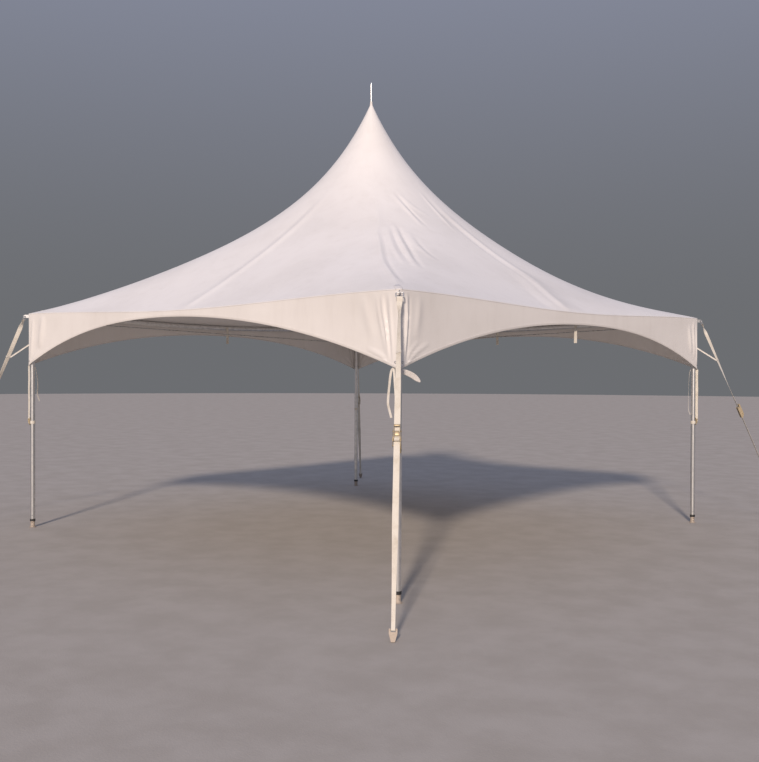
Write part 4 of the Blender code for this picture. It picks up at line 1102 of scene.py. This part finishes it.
def buttonParts():
    # Spring button in a small pressed ring, on both sides of the leg
    profile = [(0.0045, 0.0), (0.0045, 0.0050), (0.0040, 0.0062), (0.0025, 0.0070)]
    parts = []
    for way in (-1.0, 1.0):
        start = np.array([legReach, way * (pipeRadius - 0.002), pipes["buttonHeight"]])
        parts.append(turned(profile, start, sideways * way, 20))
        parts.append(bead(start + sideways * way * 0.0022, sideways, pipes["buttonRing"], 0.0007, 0.0))
    return parts


addRound(sideTurns, [("eave_pipe", eavePipeParts, atCorner, "tube", "eave_tube")])
addRound(cornerTurns, [
    ("leg_pipe", legParts, atCorner, "tube", "leg"),
    ("foot_jack", footParts, atCorner, "dustySteel", "foot"),
    # The discs over the feet's holes are painted shade; the collar is real black rubber
    ("foot_hole_shade", footHoleShadeParts, atCorner, "rubber_and_hole_shade", None),
    ("leg_collar", collarParts, atCorner, "rubber_and_hole_shade", None),
    ("leg_button", buttonParts, atCorner, "steel", None),
])
print("tubes and feet made")


# Corner fittings

fitting = {
    "lugThickness": 0.006,
    "lugDepth": 0.040,
    "guyHoleReach": 0.092,
    "lugRise": 0.018,
    "holeRadius": 0.0085,
    "lugRoot": 0.01,
    "cableLugReach": 0.075,
    "cableLugRadius": 0.018,
    "cableHoleRadius": 0.0052,
    "knuckle": 0.0358,
    "weldPlace": 0.038,
    "boltPlace": 0.165,
    "boltFlats": 0.016,
    "headHeight": 0.0066,
    "washerRadius": 0.0105,
    "washer": 0.0022,
    "threadRadius": 0.0050,
    "threadReach": 0.014,
}
guyHole = np.array([
    legReach + fitting["guyHoleReach"], 0.0, cornerHeight + fitting["lugRise"] - fitting["lugDepth"] / 2])
cableLugHeight = cornerHeight - sleeveRadius - fitting["lugDepth"] / 2
diagonal = math.sqrt(0.5)


def fittingParts():
    # Three sleeves out of a welded knuckle, with a lug for the guy and one for the mast's cable
    ways = np.array([(0.0, 0.0, -1.0), (-diagonal, diagonal, 0.0), (-diagonal, -diagonal, 0.0)])
    places = (0.012, pipes["sleeveLength"])
    parts = [
        tube(*(cornerCentre + way * place for place in places), sleeveRadius, sleeveBore, 44, 0.0012)
        for way in ways]
    arc = np.linspace(-math.pi / 2, math.pi / 2, 13)[1:-1]
    ball = np.column_stack([np.cos(arc), np.sin(arc)]) * fitting["knuckle"]
    parts.append(turned(ball, cornerCentre, sides=40))
    parts += [
        bead(cornerCentre + way * fitting["weldPlace"], way, sleeveRadius * 1.01, 0.003) for way in ways]
    thick, radius = fitting["lugThickness"], fitting["cableLugRadius"]
    parts.append(lugPlate(
        guyHole, fitting["guyHoleReach"] - fitting["lugRoot"], fitting["lugDepth"] / 2, fitting["holeRadius"],
        thick, (-1.0, 0.0, 0.0), upward))
    back = fitting["cableLugReach"] - radius
    parts.append(lugPlate(
        np.array([legReach - back, 0.0, cableLugHeight]), back, radius, fitting["cableHoleRadius"], thick,
        (1.0, 0.0, 0.0), upward))
    return parts


def boltParts(spot, way):
    # Washer with a bolt's head or a nut on it
    top = spot + way * fitting["washer"]
    return [rod(spot, top, fitting["washerRadius"], 28, 0.0004),
            hexHead(top, way, fitting["boltFlats"], fitting["headHeight"])]


def fittingBoltParts():
    # One bolt with its nut through the leg's sleeve, and one head on the inner side of each eave sleeve
    down = cornerCentre - upward * fitting["boltPlace"]
    depth = sleeveRadius - 0.0006
    parts = []
    for way in (-1.0, 1.0):
        parts += boltParts(down + sideways * way * depth, sideways * way)
        inward = np.array([-diagonal, -way * diagonal, 0.0])
        along = np.array([-diagonal, way * diagonal, 0.0])
        parts += boltParts(cornerCentre + along * fitting["boltPlace"] + inward * depth, inward)
    thread = down + sideways * sleeveRadius
    parts.append(rod(thread, thread + sideways * fitting["threadReach"], fitting["threadRadius"], 20))
    return parts


addRound(cornerTurns, [
    ("corner_joint", fittingParts, atCorner, "steel", "corner_fitting"),
    ("corner_bolts", fittingBoltParts, atCorner, "steel", None),
])
print("corner fittings made")


# Mast, crown, finial and cables

mast = {
    "seatHeight": 2.33,
    "seatRadius": 0.050,
    "seatThickness": 0.040,
    "seatKeel": 0.010,
    "spigot": 0.10,
    "crownRadius": 0.085,
    "crownRim": 0.012,
    "crownSleeve": 0.12,
    "crownTopWall": 0.0045,
    "finialRadius": 0.0125,
    "finialTop": 5.70,
    # Shares of the finial's radius, and how far below its top
    "finialTip": [(1.0, 0.030), (0.93, 0.018), (0.72, 0.007), (0.45, 0.0)],
    # Steps out from the finial and up from the roof's peak
    "boot": [(0.0002, 0.012), (0.0022, 0.012), (0.0026, -0.010), (0.0060, -0.035), (0.0105, -0.065),
             (0.0095, -0.0665), (0.0002, -0.040)],
    "fabricGap": 0.0052,
}
cable = {
    "radius": 0.005,
    "strands": 6,
    "layLength": 0.075,
    "terminalRadius": 0.010,
    "terminalLength": 0.14,
    "play": 0.0006,
}
clevis = {
    "jaw": 0.0072,
    "armLength": (-0.026, 0.030),
    "armWidth": 0.005,
    "web": (-0.028, -0.020),
    "webWidth": 0.019,
    "depth": 0.020,
    "edge": 0.0012,
    "pinPlace": 0.018,
    "pinHalf": 0.0125,
    "pinRadius": 0.0048,
    "pinHead": (0.0027, 0.0080),
}


def crownProfile():
    # The sleeve round the mast's top and the cone that lies just under the cloth
    radius = np.linspace(mast["crownRadius"], mast["finialRadius"] + mast["crownTopWall"], 14)
    cone = np.column_stack([radius, plan["peakHeight"] - hipDrop(radius) - mast["fabricGap"]])
    base = cone[0, 1] - mast["crownRim"]
    low = base - mast["crownSleeve"]
    bore = mast["finialRadius"] + pipes["gap"]
    outside = [
        (sleeveRadius - 0.001, low), (sleeveRadius, low + 0.001), (sleeveRadius, base - 0.004),
        (sleeveRadius + 0.004, base), (mast["crownRadius"] - 0.002, base),
        (mast["crownRadius"], base + 0.002)]
    inside = [(bore, cone[-1, 1]), (bore, base), (sleeveBore, base), (sleeveBore, low)]
    return np.vstack([outside, cone, inside]), base


def seatProfile(seatTop):
    # The cup under the mast, and the spigot that goes up into it
    seat, spigot, end = mast["seatRadius"], footRadius, seatTop + mast["spigot"]
    seatLow = seatTop - mast["seatThickness"]
    keel = seatLow - mast["seatKeel"]
    return [
        (seat * 0.55, keel), (seat * 0.6, keel + 0.002), (seat - 0.004, seatLow), (seat, seatLow + 0.003),
        (seat, seatTop - 0.003), (seat - 0.003, seatTop), (spigot + 0.003, seatTop),
        (spigot, seatTop + 0.002), (spigot, end - 0.004), (spigot - 0.004, end)]


def addMast():
    crown, base = crownProfile()
    seatTop = mast["seatHeight"] + mast["seatThickness"] / 2
    radius, top, gap = mast["finialRadius"], mast["finialTop"], pipes["gap"]
    finial = [(radius, base + gap), *((radius * share, top - drop) for share, drop in mast["finialTip"])]
    boot = [(radius + out, plan["peakHeight"] + up) for out, up in mast["boot"]]
    origin = np.zeros(3)
    pipe = tube(upward * (seatTop + gap), upward * (base - gap), pipeRadius, boreRadius)
    addPiece("crown_cone", [turned(crown, origin, sides=56, hollow=True)], "steel", ["crown"])
    addPiece("mast_pipe", [pipe], "tube", ["mast"])
    addPiece("finial_rod", [turned(finial, origin, sides=32)], "tube", ["finial"])
    addPiece("peak_boot", [turned(boot, origin, sides=40, hollow=True)], "valance")
    addPiece("mast_seat_cup", [turned(seatProfile(seatTop), origin)], "steel", ["mast_seat"])


def cableSpan():
    return span(
        (mast["seatRadius"] + cable["play"], 0.0, mast["seatHeight"]),
        (legReach - fitting["cableLugReach"] - cable["play"], 0.0, cableLugHeight))


def cableParts():
    # Laid rope: a rosette of strands that turns as it goes along, between two swaged terminals
    start, end, length = cableSpan()
    way = unit(end - start)
    strands, lay = cable["strands"], cable["layLength"]
    inside = cable["terminalLength"] - 0.01
    along = np.arange(inside, length - inside, lay / 12)
    angle = np.arange(strands * 4) * 2 * math.pi / (strands * 4)
    lobe = cable["radius"] * (0.86 + 0.14 * np.abs(np.cos(angle * strands / 2)) ** 0.6)
    spin = angle[None, :] + (along * 2 * math.pi / lay)[:, None]
    profile = np.stack([np.cos(spin), np.sin(spin)], axis=-1) * lobe[None, :, None]
    thick, last = cable["terminalRadius"], cable["terminalLength"]
    swage = [(thick * 0.7, 0.0), (thick, 0.004), (thick, 0.030), (thick * 0.82, 0.034),
             (thick * 0.82, last - 0.012), (thick * 0.66, last)]
    return [
        sweep(start + way * along[:, None], profile, sideways), turned(swage, start, way, 28),
        turned(swage, end, -way, 28)]


def clevisParts():
    # A fork with a pin at each end of the cable: over the corner's lug, and over an eye on the seat
    start, end, _ = cableSpan()
    way = unit(end - start)
    depth, edge, half = clevis["depth"], clevis["edge"], clevis["pinHalf"]
    headDepth, headRadius = clevis["pinHead"]
    parts = []
    for foot, out in ((end, way), (start, -way)):
        for hand in (-1.0, 1.0):
            arm = [foot + sideways * hand * clevis["jaw"] + out * place for place in clevis["armLength"]]
            parts.append(bar(*arm, sideways, clevis["armWidth"], depth, edge))
        web = [foot + out * place for place in clevis["web"]]
        parts.append(bar(*web, sideways, clevis["webWidth"], depth, edge))
        pin = foot + out * clevis["pinPlace"]
        tip = pin + sideways * half
        parts.append(rod(pin - sideways * half, tip, clevis["pinRadius"], 20))
        parts.append(rod(tip - sideways * headDepth, tip, headRadius, 20))
    return parts


addMast()
addRound(cornerTurns, [
    ("cable_rope", cableParts, atCorner, "cable", "mast_cable"),
    ("cable_forks", clevisParts, atCorner, "steel", None),
])
print("mast and cables made")


# Guys: ring, webbing, ratchet and stake

guy = {
    "ringWire": 0.005,
    "ringBend": 0.009,
    "ringHalfWidth": 0.0325,
    "ringDepth": 0.042,
    "ringPlay": 0.0032,
    "stakeReach": 1.20,
    "pinHeight": 0.085,
    "turn": -7.0,
    "width": 0.050,
    "footWidth": 0.030,
    "bunchHeight": 0.80,
    "curl": 0.006,
    # The strap's turn about its own run: where it turns below the ring, and the heights where it turns back
    "twist": 62.0,
    "twistRun": (0.012, 0.142),
    "twistHeights": (1.60, 2.45),
    "thickness": 0.0024,
    "tail": 0.20,
    "lowerTail": 0.14,
    "ratchetHeight": 1.46,
    "stitchPitch": 0.0045,
    "stitchSwing": 0.0016,
    "thread": 0.0006,
}
ratchet = {
    "halfLength": 0.075,
    "inside": 0.0303,
    "wall": 0.0035,
    "drumAlong": 0.015,
    "drumOut": 0.0153,
    "wheelRadius": 0.0195,
    "wheelWidth": 0.003,
    "teeth": 13,
    "armPlace": 0.0238,
    "armLength": 0.108,
    "capRadius": 0.0088,
    "barPlace": 0.060,
    "barDrop": 0.0073,
    "barRadius": 0.0048,
    "windings": 2.6,
    "coreRadius": 0.0085,
}
stake = {
    "halfWidth": 0.031,
    "plate": 0.008,
    "notch": 0.020,
    "notchDepth": 0.017,
    "ear": 0.008,
    "shoulder": 0.026,
    "soilHalf": 0.014,
    "buried": 0.004,
    "pinRadius": 0.005,
    "pinHalf": 0.0285,
    "beadPlace": 0.0205,
}
tieBack = {
    "low": 2.31,
    "share": 0.185,
    "width": 0.017,
    "thickness": 0.0018,
    "inside": 0.014,
    "loopDepth": 0.0055,
}
stakePin = np.array([legReach + guy["stakeReach"], 0.0, guy["pinHeight"]])
guyWay = unit(stakePin - guyHole)
guyOut = np.cross(guyWay, sideways)
ringBar = guyHole + guyWay * (guy["ringPlay"] + guy["ringDepth"])
strapLength = float(np.linalg.norm(stakePin - ringBar))
ratchetCentre = ringBar + guyWay * ((ringBar[2] - guy["ratchetHeight"]) / -guyWay[2])
drumOffset = guyWay * ratchet["drumAlong"] + guyOut * ratchet["drumOut"]


def swung(points):
    # Round the upright line through the lug's hole
    return turnAbout(points, guy["turn"], guyHole[:2])


def atGuy(parts, turn):
    return atCorner([moved(part, swung) for part in parts], turn)


def ringParts():
    # Wire along a rounded rectangle
    bend, depth, half = guy["ringBend"], guy["ringDepth"], guy["ringHalfWidth"]
    quarter = np.linspace(0.0, math.pi / 2, 9)
    path = []
    for step, (across, down) in enumerate(((1, 0), (1, 1), (-1, 1), (-1, 0))):
        angle = quarter + (step - 1) * math.pi / 2
        path.append(np.column_stack([
            across * (half - bend) + bend * np.cos(angle),
            (bend if down == 0 else depth - bend) + bend * np.sin(angle)]))
    flat = np.vstack(path)
    points = guyHole + guyWay * guy["ringPlay"] + flat[:, :1] * sideways + flat[:, 1:] * guyWay
    return [sweep(points, circle(guy["ringWire"], 20), guyOut, loop=True)]


def strapWidth(along):
    # Full width above, and bunched up towards the stake
    height = ringBar[2] + guyWay[2] * along
    bunching = np.clip((guy["bunchHeight"] - height) / guy["bunchHeight"], 0.0, 1.0)
    return guy["width"] + (guy["footWidth"] - guy["width"]) * np.sin(bunching * math.pi / 2), bunching


def strapFrame(along):
    # The strap's side and face at a distance below the ring's bar
    along = floats(along)
    low, high = guy["twistHeights"]
    fall = np.clip((ringBar[2] + guyWay[2] * along - low) / (high - low), 0.0, 1.0)
    turn = (math.radians(guy["twist"]) * eased(along, *guy["twistRun"]) * fall)[..., None]
    return sideways * np.cos(turn) + guyOut * np.sin(turn), guyOut * np.cos(turn) - sideways * np.sin(turn)


def strapOutline():
    # One length of webbing as (distance down, offset): a tail, round the ring's bar, down, round the
    # stake's pin and back up as a tail. Away from a bar the two runs close up from a teardrop to lie on
    # each other.
    thick = guy["thickness"]
    apart = thick / 2 + 0.0002
    roundRing = guy["ringWire"] + thick / 2 + 0.0003
    roundPin = stake["pinRadius"] + thick / 2 + 0.0003
    down = np.concatenate([
        np.linspace(0.003, 0.15, 26), np.linspace(0.17, strapLength - 0.07, 58),
        np.linspace(strapLength - 0.05, strapLength - 0.003, 10)])
    spread = apart + (roundRing - apart) * (1 - eased(down, 0.0, 0.045)) \
        + (roundPin - apart) * eased(down, strapLength - 0.045, strapLength)
    upperTail, lowerTail = (np.column_stack([down[held], -spread[held]])[::-1]
                            for held in (down < guy["tail"], down > strapLength - guy["lowerTail"]))
    arc = np.linspace(0.0, math.pi, 11)
    upperBend = np.column_stack([-np.sin(arc), -np.cos(arc)]) * roundRing
    lowerBend = np.column_stack([strapLength + np.sin(arc) * roundPin, np.cos(arc) * roundPin])
    return np.vstack([upperTail, upperBend, np.column_stack([down, spread]), lowerBend, lowerTail])


def guyStrapParts():
    # Where it is bunched, the webbing curls across its width
    flat = strapOutline()
    down = flat[:, 0]
    side, face = strapFrame(down)
    path = ringBar + flat[:, :1] * guyWay + flat[:, 1:] * face
    width, bunching = strapWidth(down)
    profile = np.tile(flatOval(1.0, guy["thickness"]), (len(flat), 1, 1))
    middle = np.sin(np.clip(down / strapLength, 0, 1) * math.pi)[:, None] ** 0.5
    curl = bunching[:, None] * guy["curl"] * (1 - (profile[..., 0] * 2) ** 2) * middle
    profile[..., 0] *= width[:, None]
    profile[..., 1] += curl * np.sign(np.gradient(down))[:, None]
    return [sweep(path, profile, side)]


def stitchParts():
    # Box of zigzag stitches through the sewn tails
    parts = []
    half = guy["thickness"] + 0.0004
    for start, length, width in ((0.065, 0.10, 0.030), (strapLength - 0.15, 0.08, 0.022)):
        steps = start + np.arange(0.0, length, guy["stitchPitch"])
        zig = np.where(np.arange(len(steps)) % 2 == 0, 1.0, -1.0) * guy["stitchSwing"]
        side, out = strapFrame(steps)
        for across in np.linspace(-0.5, 0.5, 4):
            seam = ringBar + steps[:, None] * guyWay + (across * width + zig)[:, None] * side
            parts += [sweep(seam + face * half * out, circle(guy["thread"], 5), out) for face in (-1.0, 1.0)]
    return parts


def toothedWheel(centre, radius, teeth, width):
    # Ratchet wheel: its radius is a saw wave of the angle
    angle = np.linspace(0.0, 2 * math.pi, teeth * 4 + 1)[:-1]
    saw = (angle * teeth / (2 * math.pi)) % 1.0
    flat = np.column_stack([np.cos(angle), np.sin(angle)]) * (radius * (1.0 - 0.16 * saw))[:, None]
    return plate(flat, width, 0.0006, centre, guyWay, np.cross(sideways, guyWay))


def ratchetParts():
    # Side plates, toothed wheels and the handle's arms on each hand, then the drum's caps and the bars
    half, inside, thick = ratchet["halfLength"], ratchet["inside"], ratchet["wall"]
    level, arm = ratchet["drumOut"], ratchet["armLength"]
    frameOutline = softened([
        (-half, -0.0123), (half, -0.0123), (half, 0.006), (0.036, 0.0337), (-0.010, 0.0337),
        (-half, 0.004)], 0.007)
    armOutline = softened([
        (-arm, level + 0.002), (0.030, level - 0.010), (0.034, level + 0.010), (0.010, level + 0.022),
        (-arm, level + 0.020)], 0.006)
    drum = ratchetCentre + drumOffset
    parts = []
    for hand in (-1.0, 1.0):
        way = sideways * hand
        middle = ratchetCentre + way * (inside + thick / 2)
        parts.append(plate(frameOutline, thick, 0.0007, middle, guyWay, guyOut))
        parts.append(toothedWheel(
            drum + way * (inside - 0.0030), ratchet["wheelRadius"], ratchet["teeth"], ratchet["wheelWidth"]))
        middle = ratchetCentre + way * ratchet["armPlace"]
        parts.append(plate(armOutline, thick, 0.0006, middle, guyWay, guyOut))
    for hand in (-1.0, 1.0):
        size = ratchet["capRadius"]
        cap = [(size, -0.001), (size, 0.002), (size * 0.6, 0.0035)]
        parts.append(turned(cap, drum + sideways * hand * (inside + thick), sideways * hand, 24))
    reach = sideways * (inside + thick + 0.003)
    for hand in (-1.0, 1.0):
        spot = ratchetCentre + guyWay * hand * ratchet["barPlace"] - guyOut * ratchet["barDrop"]
        parts.append(rod(spot - reach, spot + reach, ratchet["barRadius"], 24))
    return parts


def ratchetGripParts():
    # Grip across the handle's end, and the latch's bar
    grip = ratchetCentre - guyWay * 0.1082 + guyOut * (ratchet["drumOut"] + 0.010)
    latch = ratchetCentre - guyWay * 0.055 + guyOut * 0.020
    return [bar(grip, grip + guyWay * 0.018, sideways, 0.0500, 0.015, 0.006),
            bar(latch, latch + guyWay * 0.040, sideways, 0.036, 0.005, 0.0015)]


def woundWebbingParts():
    # Spiral of webbing round the drum: its radius grows by one thickness a turn
    thick = guy["thickness"]
    angle = np.linspace(0.0, ratchet["windings"] * 2 * math.pi, 96)
    radius = (ratchet["coreRadius"] + (thick + 0.0002) * angle / (2 * math.pi))[:, None]
    centre = ratchetCentre + drumOffset
    path = centre + np.cos(angle)[:, None] * radius * guyOut + np.sin(angle)[:, None] * radius * guyWay
    core = rod(centre - sideways * 0.024, centre + sideways * 0.024, 0.0078, 24)
    return [sweep(path, flatOval(guy["width"] * 0.94, thick, 20), sideways), core]


def stakeParts():
    # Bent-over head of the stake: ears, notch and pin, down into the ground
    down = (guy["pinHeight"] - stake["buried"]) / -guyWay[2]
    half, notch, ear, low = stake["halfWidth"], stake["notch"], stake["ear"], stake["soilHalf"]
    inner = [(notch, -ear), (notch, stake["notchDepth"])]
    outer = [(-half, -ear), (-half, stake["shoulder"]), (-low, down)]
    outline = [spot for run in (inner, outer)
               for spot in (*run, *((-across, fall) for across, fall in run[::-1]))]
    pin = sideways * stake["pinHalf"]
    return [
        plate(softened(outline, 0.0035, 4), stake["plate"], 0.0012, stakePin, sideways, guyWay),
        rod(stakePin - pin, stakePin + pin, stake["pinRadius"], 20),
        *(bead(stakePin + sideways * place, sideways, 0.0056, 0.0012, 0.1)
          for place in (stake["beadPlace"], -stake["beadPlace"])),
    ]


def tieBackParts():
    # Narrow taut strap through the slit between two valances, drawn on the plane of the corner, to a loop
    # round the guy
    down = tieBack["share"] * strapLength
    meet = ringBar + guyWay * down
    along, face = strapFrame(down)
    wide = strapWidth(down)[0] / 2 + 0.0022
    start = np.array([hipLength - tieBack["inside"], 0.0, tieBack["low"]])
    end = swung(meet - along * (wide + 0.0012))
    way = unit(end - start)
    path = np.linspace(start, end, 14)
    strap = sweep(path, flatOval(tieBack["width"], tieBack["thickness"], 20), unit(upward - way[2] * way))
    loop = roundedBox(wide * 2, tieBack["loopDepth"] * 2, 0.0035, 5)
    points = meet + loop[:, :1] * along + loop[:, 1:] * face
    return strap, moved(sweep(points, flatOval(tieBack["width"], 0.0016, 20), guyWay, loop=True), swung)


addRound(cornerTurns, [
    ("tie_back", tieBackParts, atCorner, "tie", None),
    ("ring_wire", ringParts, atGuy, "steel", "guy_ring"),
    ("guy_webbing", guyStrapParts, atGuy, "webbing", "guy_strap"),
    ("guy_stitches", stitchParts, atGuy, "tie", None),
    ("ratchet_frame", ratchetParts, atGuy, "yellowZinc", "ratchet"),
    ("ratchet_grip", ratchetGripParts, atGuy, "yellowZinc", None),
    ("ratchet_winding", woundWebbingParts, atGuy, "webbing", None),
    ("stake_head", stakeParts, atGuy, "dustySteel", "stake"),
])
print("guys made")


# Straps that hold the valance corners down the legs

legStrap = {
    "reach": hipLength - 0.002,
    "width": 0.038,
    "thickness": 0.0022,
    "twist": 45.0,
    "overTip": 0.006,
    "sway": 0.0012,
    "bottom": 1.3375,
    "bandHeight": 1.325,
    "bandOpening": 38.0,
}
buckle = {
    "low": 1.29,
    "length": 0.095,
    "width": 0.044,
    "base": 0.0024,
    "cheek": 0.0022,
    "barHeight": 0.044,
    "barRadius": 0.0032,
    "lowerBarHeight": 0.006,
    "lowerBarRadius": 0.0028,
}


def legStrapParts(corner):
    # Flat webbing from the valance's tip down beside the leg, and the turn of it that goes round the leg
    turn = math.radians(legStrap["twist"])
    wide = np.array([-math.sin(turn), math.cos(turn), 0.0])
    top = plan["eaveHeight"] - valances["cornerDrop"][corner] + legStrap["overTip"]
    heights = np.linspace(top, legStrap["bottom"], 24)
    sway = legStrap["sway"] * np.sin(heights * 19.0)
    path = np.column_stack([legStrap["reach"] + sway, np.zeros(24), heights])
    profile = flatOval(legStrap["width"], legStrap["thickness"])
    opening = math.radians(legStrap["bandOpening"])
    angle = np.linspace(opening, 2 * math.pi - opening, 40)
    around = pipeRadius + legStrap["thickness"] / 2 + 0.0004
    band = np.column_stack([
        legReach + np.cos(angle) * around, np.sin(angle) * around, np.full(40, legStrap["bandHeight"])])
    return [sweep(path, profile, wide), sweep(band, profile, upward)]


def buckleParts():
    # Cam buckle: a base plate, two cheeks, a bar, and the cam lever
    low, half = buckle["low"], buckle["width"] / 2
    back = legReach + pipeRadius + 0.0012
    front = legStrap["reach"] + 0.006
    foot = np.array([back + 0.0012, 0.0, low])
    parts = [bar(foot, foot + upward * buckle["length"], sideways, half * 2, buckle["base"], 0.0008)]
    cheek = softened([(0.0, 0.010), (front - back, 0.028), (front - back, 0.060), (0.0, 0.085)], 0.005)
    for hand in (-1.0, 1.0):
        place = np.array([back, hand * (half - 0.0012), low])
        parts.append(plate(cheek, buckle["cheek"], 0.0004, place, (1.0, 0.0, 0.0), upward))
    spot = np.array([front - 0.004, 0.0, low + buckle["barHeight"]])
    reach = sideways * (half + 0.002)
    parts.append(rod(spot - reach, spot + reach, buckle["barRadius"], 18))
    lever = (spot + (0.002, 0.0, -0.010), spot + (0.006, 0.0, 0.040))
    parts.append(bar(*lever, sideways, half * 1.75, 0.005, 0.0015))
    lower = np.array([back + 0.005, 0.0, low + buckle["lowerBarHeight"]])
    parts.append(rod(lower - sideways * half, lower + sideways * half, buckle["lowerBarRadius"], 18))
    return parts


for corner, turn in cornerTurns.items():
    strap = atCorner(legStrapParts(corner), turn)
    addPiece("leg_webbing_" + corner, strap, "webbing", ["leg_strap_" + corner])
    addPiece("leg_buckle_" + corner, atCorner(buckleParts(), turn), "yellowZinc")
print("leg straps made")


# Loose tab at the front corner

frontTab = {
    "start": (3.064, -3.070, 1.998),
    "reach": (0.139, 0.122, -0.096),
    "halfWidth": 0.024,
    "rounding": 0.35,
    "thickness": 0.0016,
    "sag": -0.017,
    "curl": 0.004,
}


def addTab(values):
    # Strip that leans out and down; its far end is a half oval, and it curls a little out of its plane
    start, reach = np.asarray(values["start"]), np.asarray(values["reach"])
    way = unit(reach)
    up = unit(upward - way[2] * way)
    out = np.cross(way, up)
    turnFrom = 1 - values["rounding"]
    share = np.concatenate([np.linspace(0.0, turnFrom, 14), turnFrom + values["rounding"] * np.sin(
        np.linspace(0.1, 1.0, 11) * math.pi / 2)])[:, None, None]
    past = np.clip((share - 1 + values["rounding"]) / values["rounding"], 0.0, 1.0)
    taper = 0.85 + 0.15 * np.sin(share * 2.6)
    half = values["halfWidth"] * np.sqrt(np.maximum(1 - past ** 2, 0.01)) * taper
    across = np.linspace(-1.0, 1.0, 9)[None, :, None] * half
    grid = start + reach * share + up * (across - values["sag"] * np.sin(share * math.pi)) \
        + out * values["curl"] * np.sin(share * 4.4) * (1 + across / values["halfWidth"])
    piece = addPiece("front_tab", [gridPart(grid)], "tab", sharp=60.0)
    addThickness(piece, values["thickness"], 0.0)


addTab(frontTab)


# Second, taut tie at the front corner, from the valances' tip to the edge of the leg's strap
secondTie = {
    "start": (2.993, -3.053, 2.016),
    "end": (3.029, -3.068, 1.752),
    "width": 0.015,
    "thickness": 0.0016,
}


def addSecondTie(values):
    # A straight line, with the webbing flat to the corner's diagonal
    path = np.linspace(values["start"], values["end"], 8)
    tie = sweep(path, flatOval(values["width"], values["thickness"], 20), unit(np.array([-1.0, -1.0, 0.0])))
    addPiece("second_tie_front", [tie], "tie")


addSecondTie(secondTie)
print("front tab made")


# Floor, light and the air round it

studio = {
    "floorRadius": 70.0,
    "floorHeight": -0.0005,
    "floorPale": (0.45, 0.42, 0.38),
    "floorDeep": (0.40, 0.37, 0.33),
    "sunBearing": -57.0,
    "sunHeight": 24.0,
    "sunStrength": 3.1,
    "sunColour": (1.0, 0.84, 0.72),
    "sunWidth": 5.0,
    "skyHigh": (0.62, 0.68, 0.95),
    "skyLow": (0.29, 0.30, 0.32),
    "skyStrength": 0.52,
}


def addFloor(values):
    # A level disc in rings, just under the feet
    height = values["floorHeight"]
    reaches = (values["floorRadius"], 20.0, 8.0, 2.0)
    rings = [np.insert(circle(reach, 96), 2, height, axis=1) for reach in reaches]
    points, faces = gridPart(rings, around=True)
    hub = len(points)
    ring = np.arange(96) + 3 * 96
    fan = np.stack([ring, np.roll(ring, -1), np.full(96, hub)], axis=1)
    mesh = bpy.data.meshes.new("studio_floor")
    mesh.from_pydata(np.vstack([points, [(0.0, 0.0, height)]]).tolist(), [],
                     faces[0][0][:, ::-1].tolist() + fan.tolist())
    finish = Finish("studio_floor")
    place = finish.place()
    grain = finish.noise(place, 2.2, 6.0, 0.6)
    finish.set(
        Base_Color=finish.blend(grain.between(0.3, 0.7), values["floorPale"], values["floorDeep"]),
        Roughness=grain * 0.1 + 0.82,
        Normal=finish.relief(finish.noise(place, 60.0, 3.0, 0.6) * 0.002, 1.0))
    mesh.materials.append(finish.material)
    floor = bpy.data.objects.new("studio_floor", mesh)
    bpy.context.scene.collection.objects.link(floor)


def addLight(values):
    data = bpy.data.lights.new("key", "SUN")
    data.energy = values["sunStrength"]
    data.color = values["sunColour"]
    data.angle = math.radians(values["sunWidth"])
    light = bpy.data.objects.new("key", data)
    light.matrix_world = (
        Matrix.Rotation(math.radians(values["sunBearing"] + 90.0), 4, "Z")
        @ Matrix.Rotation(math.radians(90.0 - values["sunHeight"]), 4, "X"))
    bpy.context.scene.collection.objects.link(light)


def addSky(values):
    # Even air, darker at the horizon and brighter above
    world = bpy.data.worlds.new("studio_air")
    world.use_nodes = True
    air = Graph(world.node_tree)
    background = air.tree.nodes["Background"]
    spot = air.node("ShaderNodeTexCoord")
    rise = air.node("ShaderNodeSeparateXYZ", {}, {"Vector": spot}, output=2).between(0.02, 0.75)
    air.feed(background.inputs["Color"], air.blend(rise, values["skyLow"], values["skyHigh"]))
    background.inputs["Strength"].default_value = values["skyStrength"]
    bpy.context.scene.world = world


addFloor(studio)
addLight(studio)
addSky(studio)
bpy.context.scene.view_settings.view_transform = "Standard"
print("studio made")
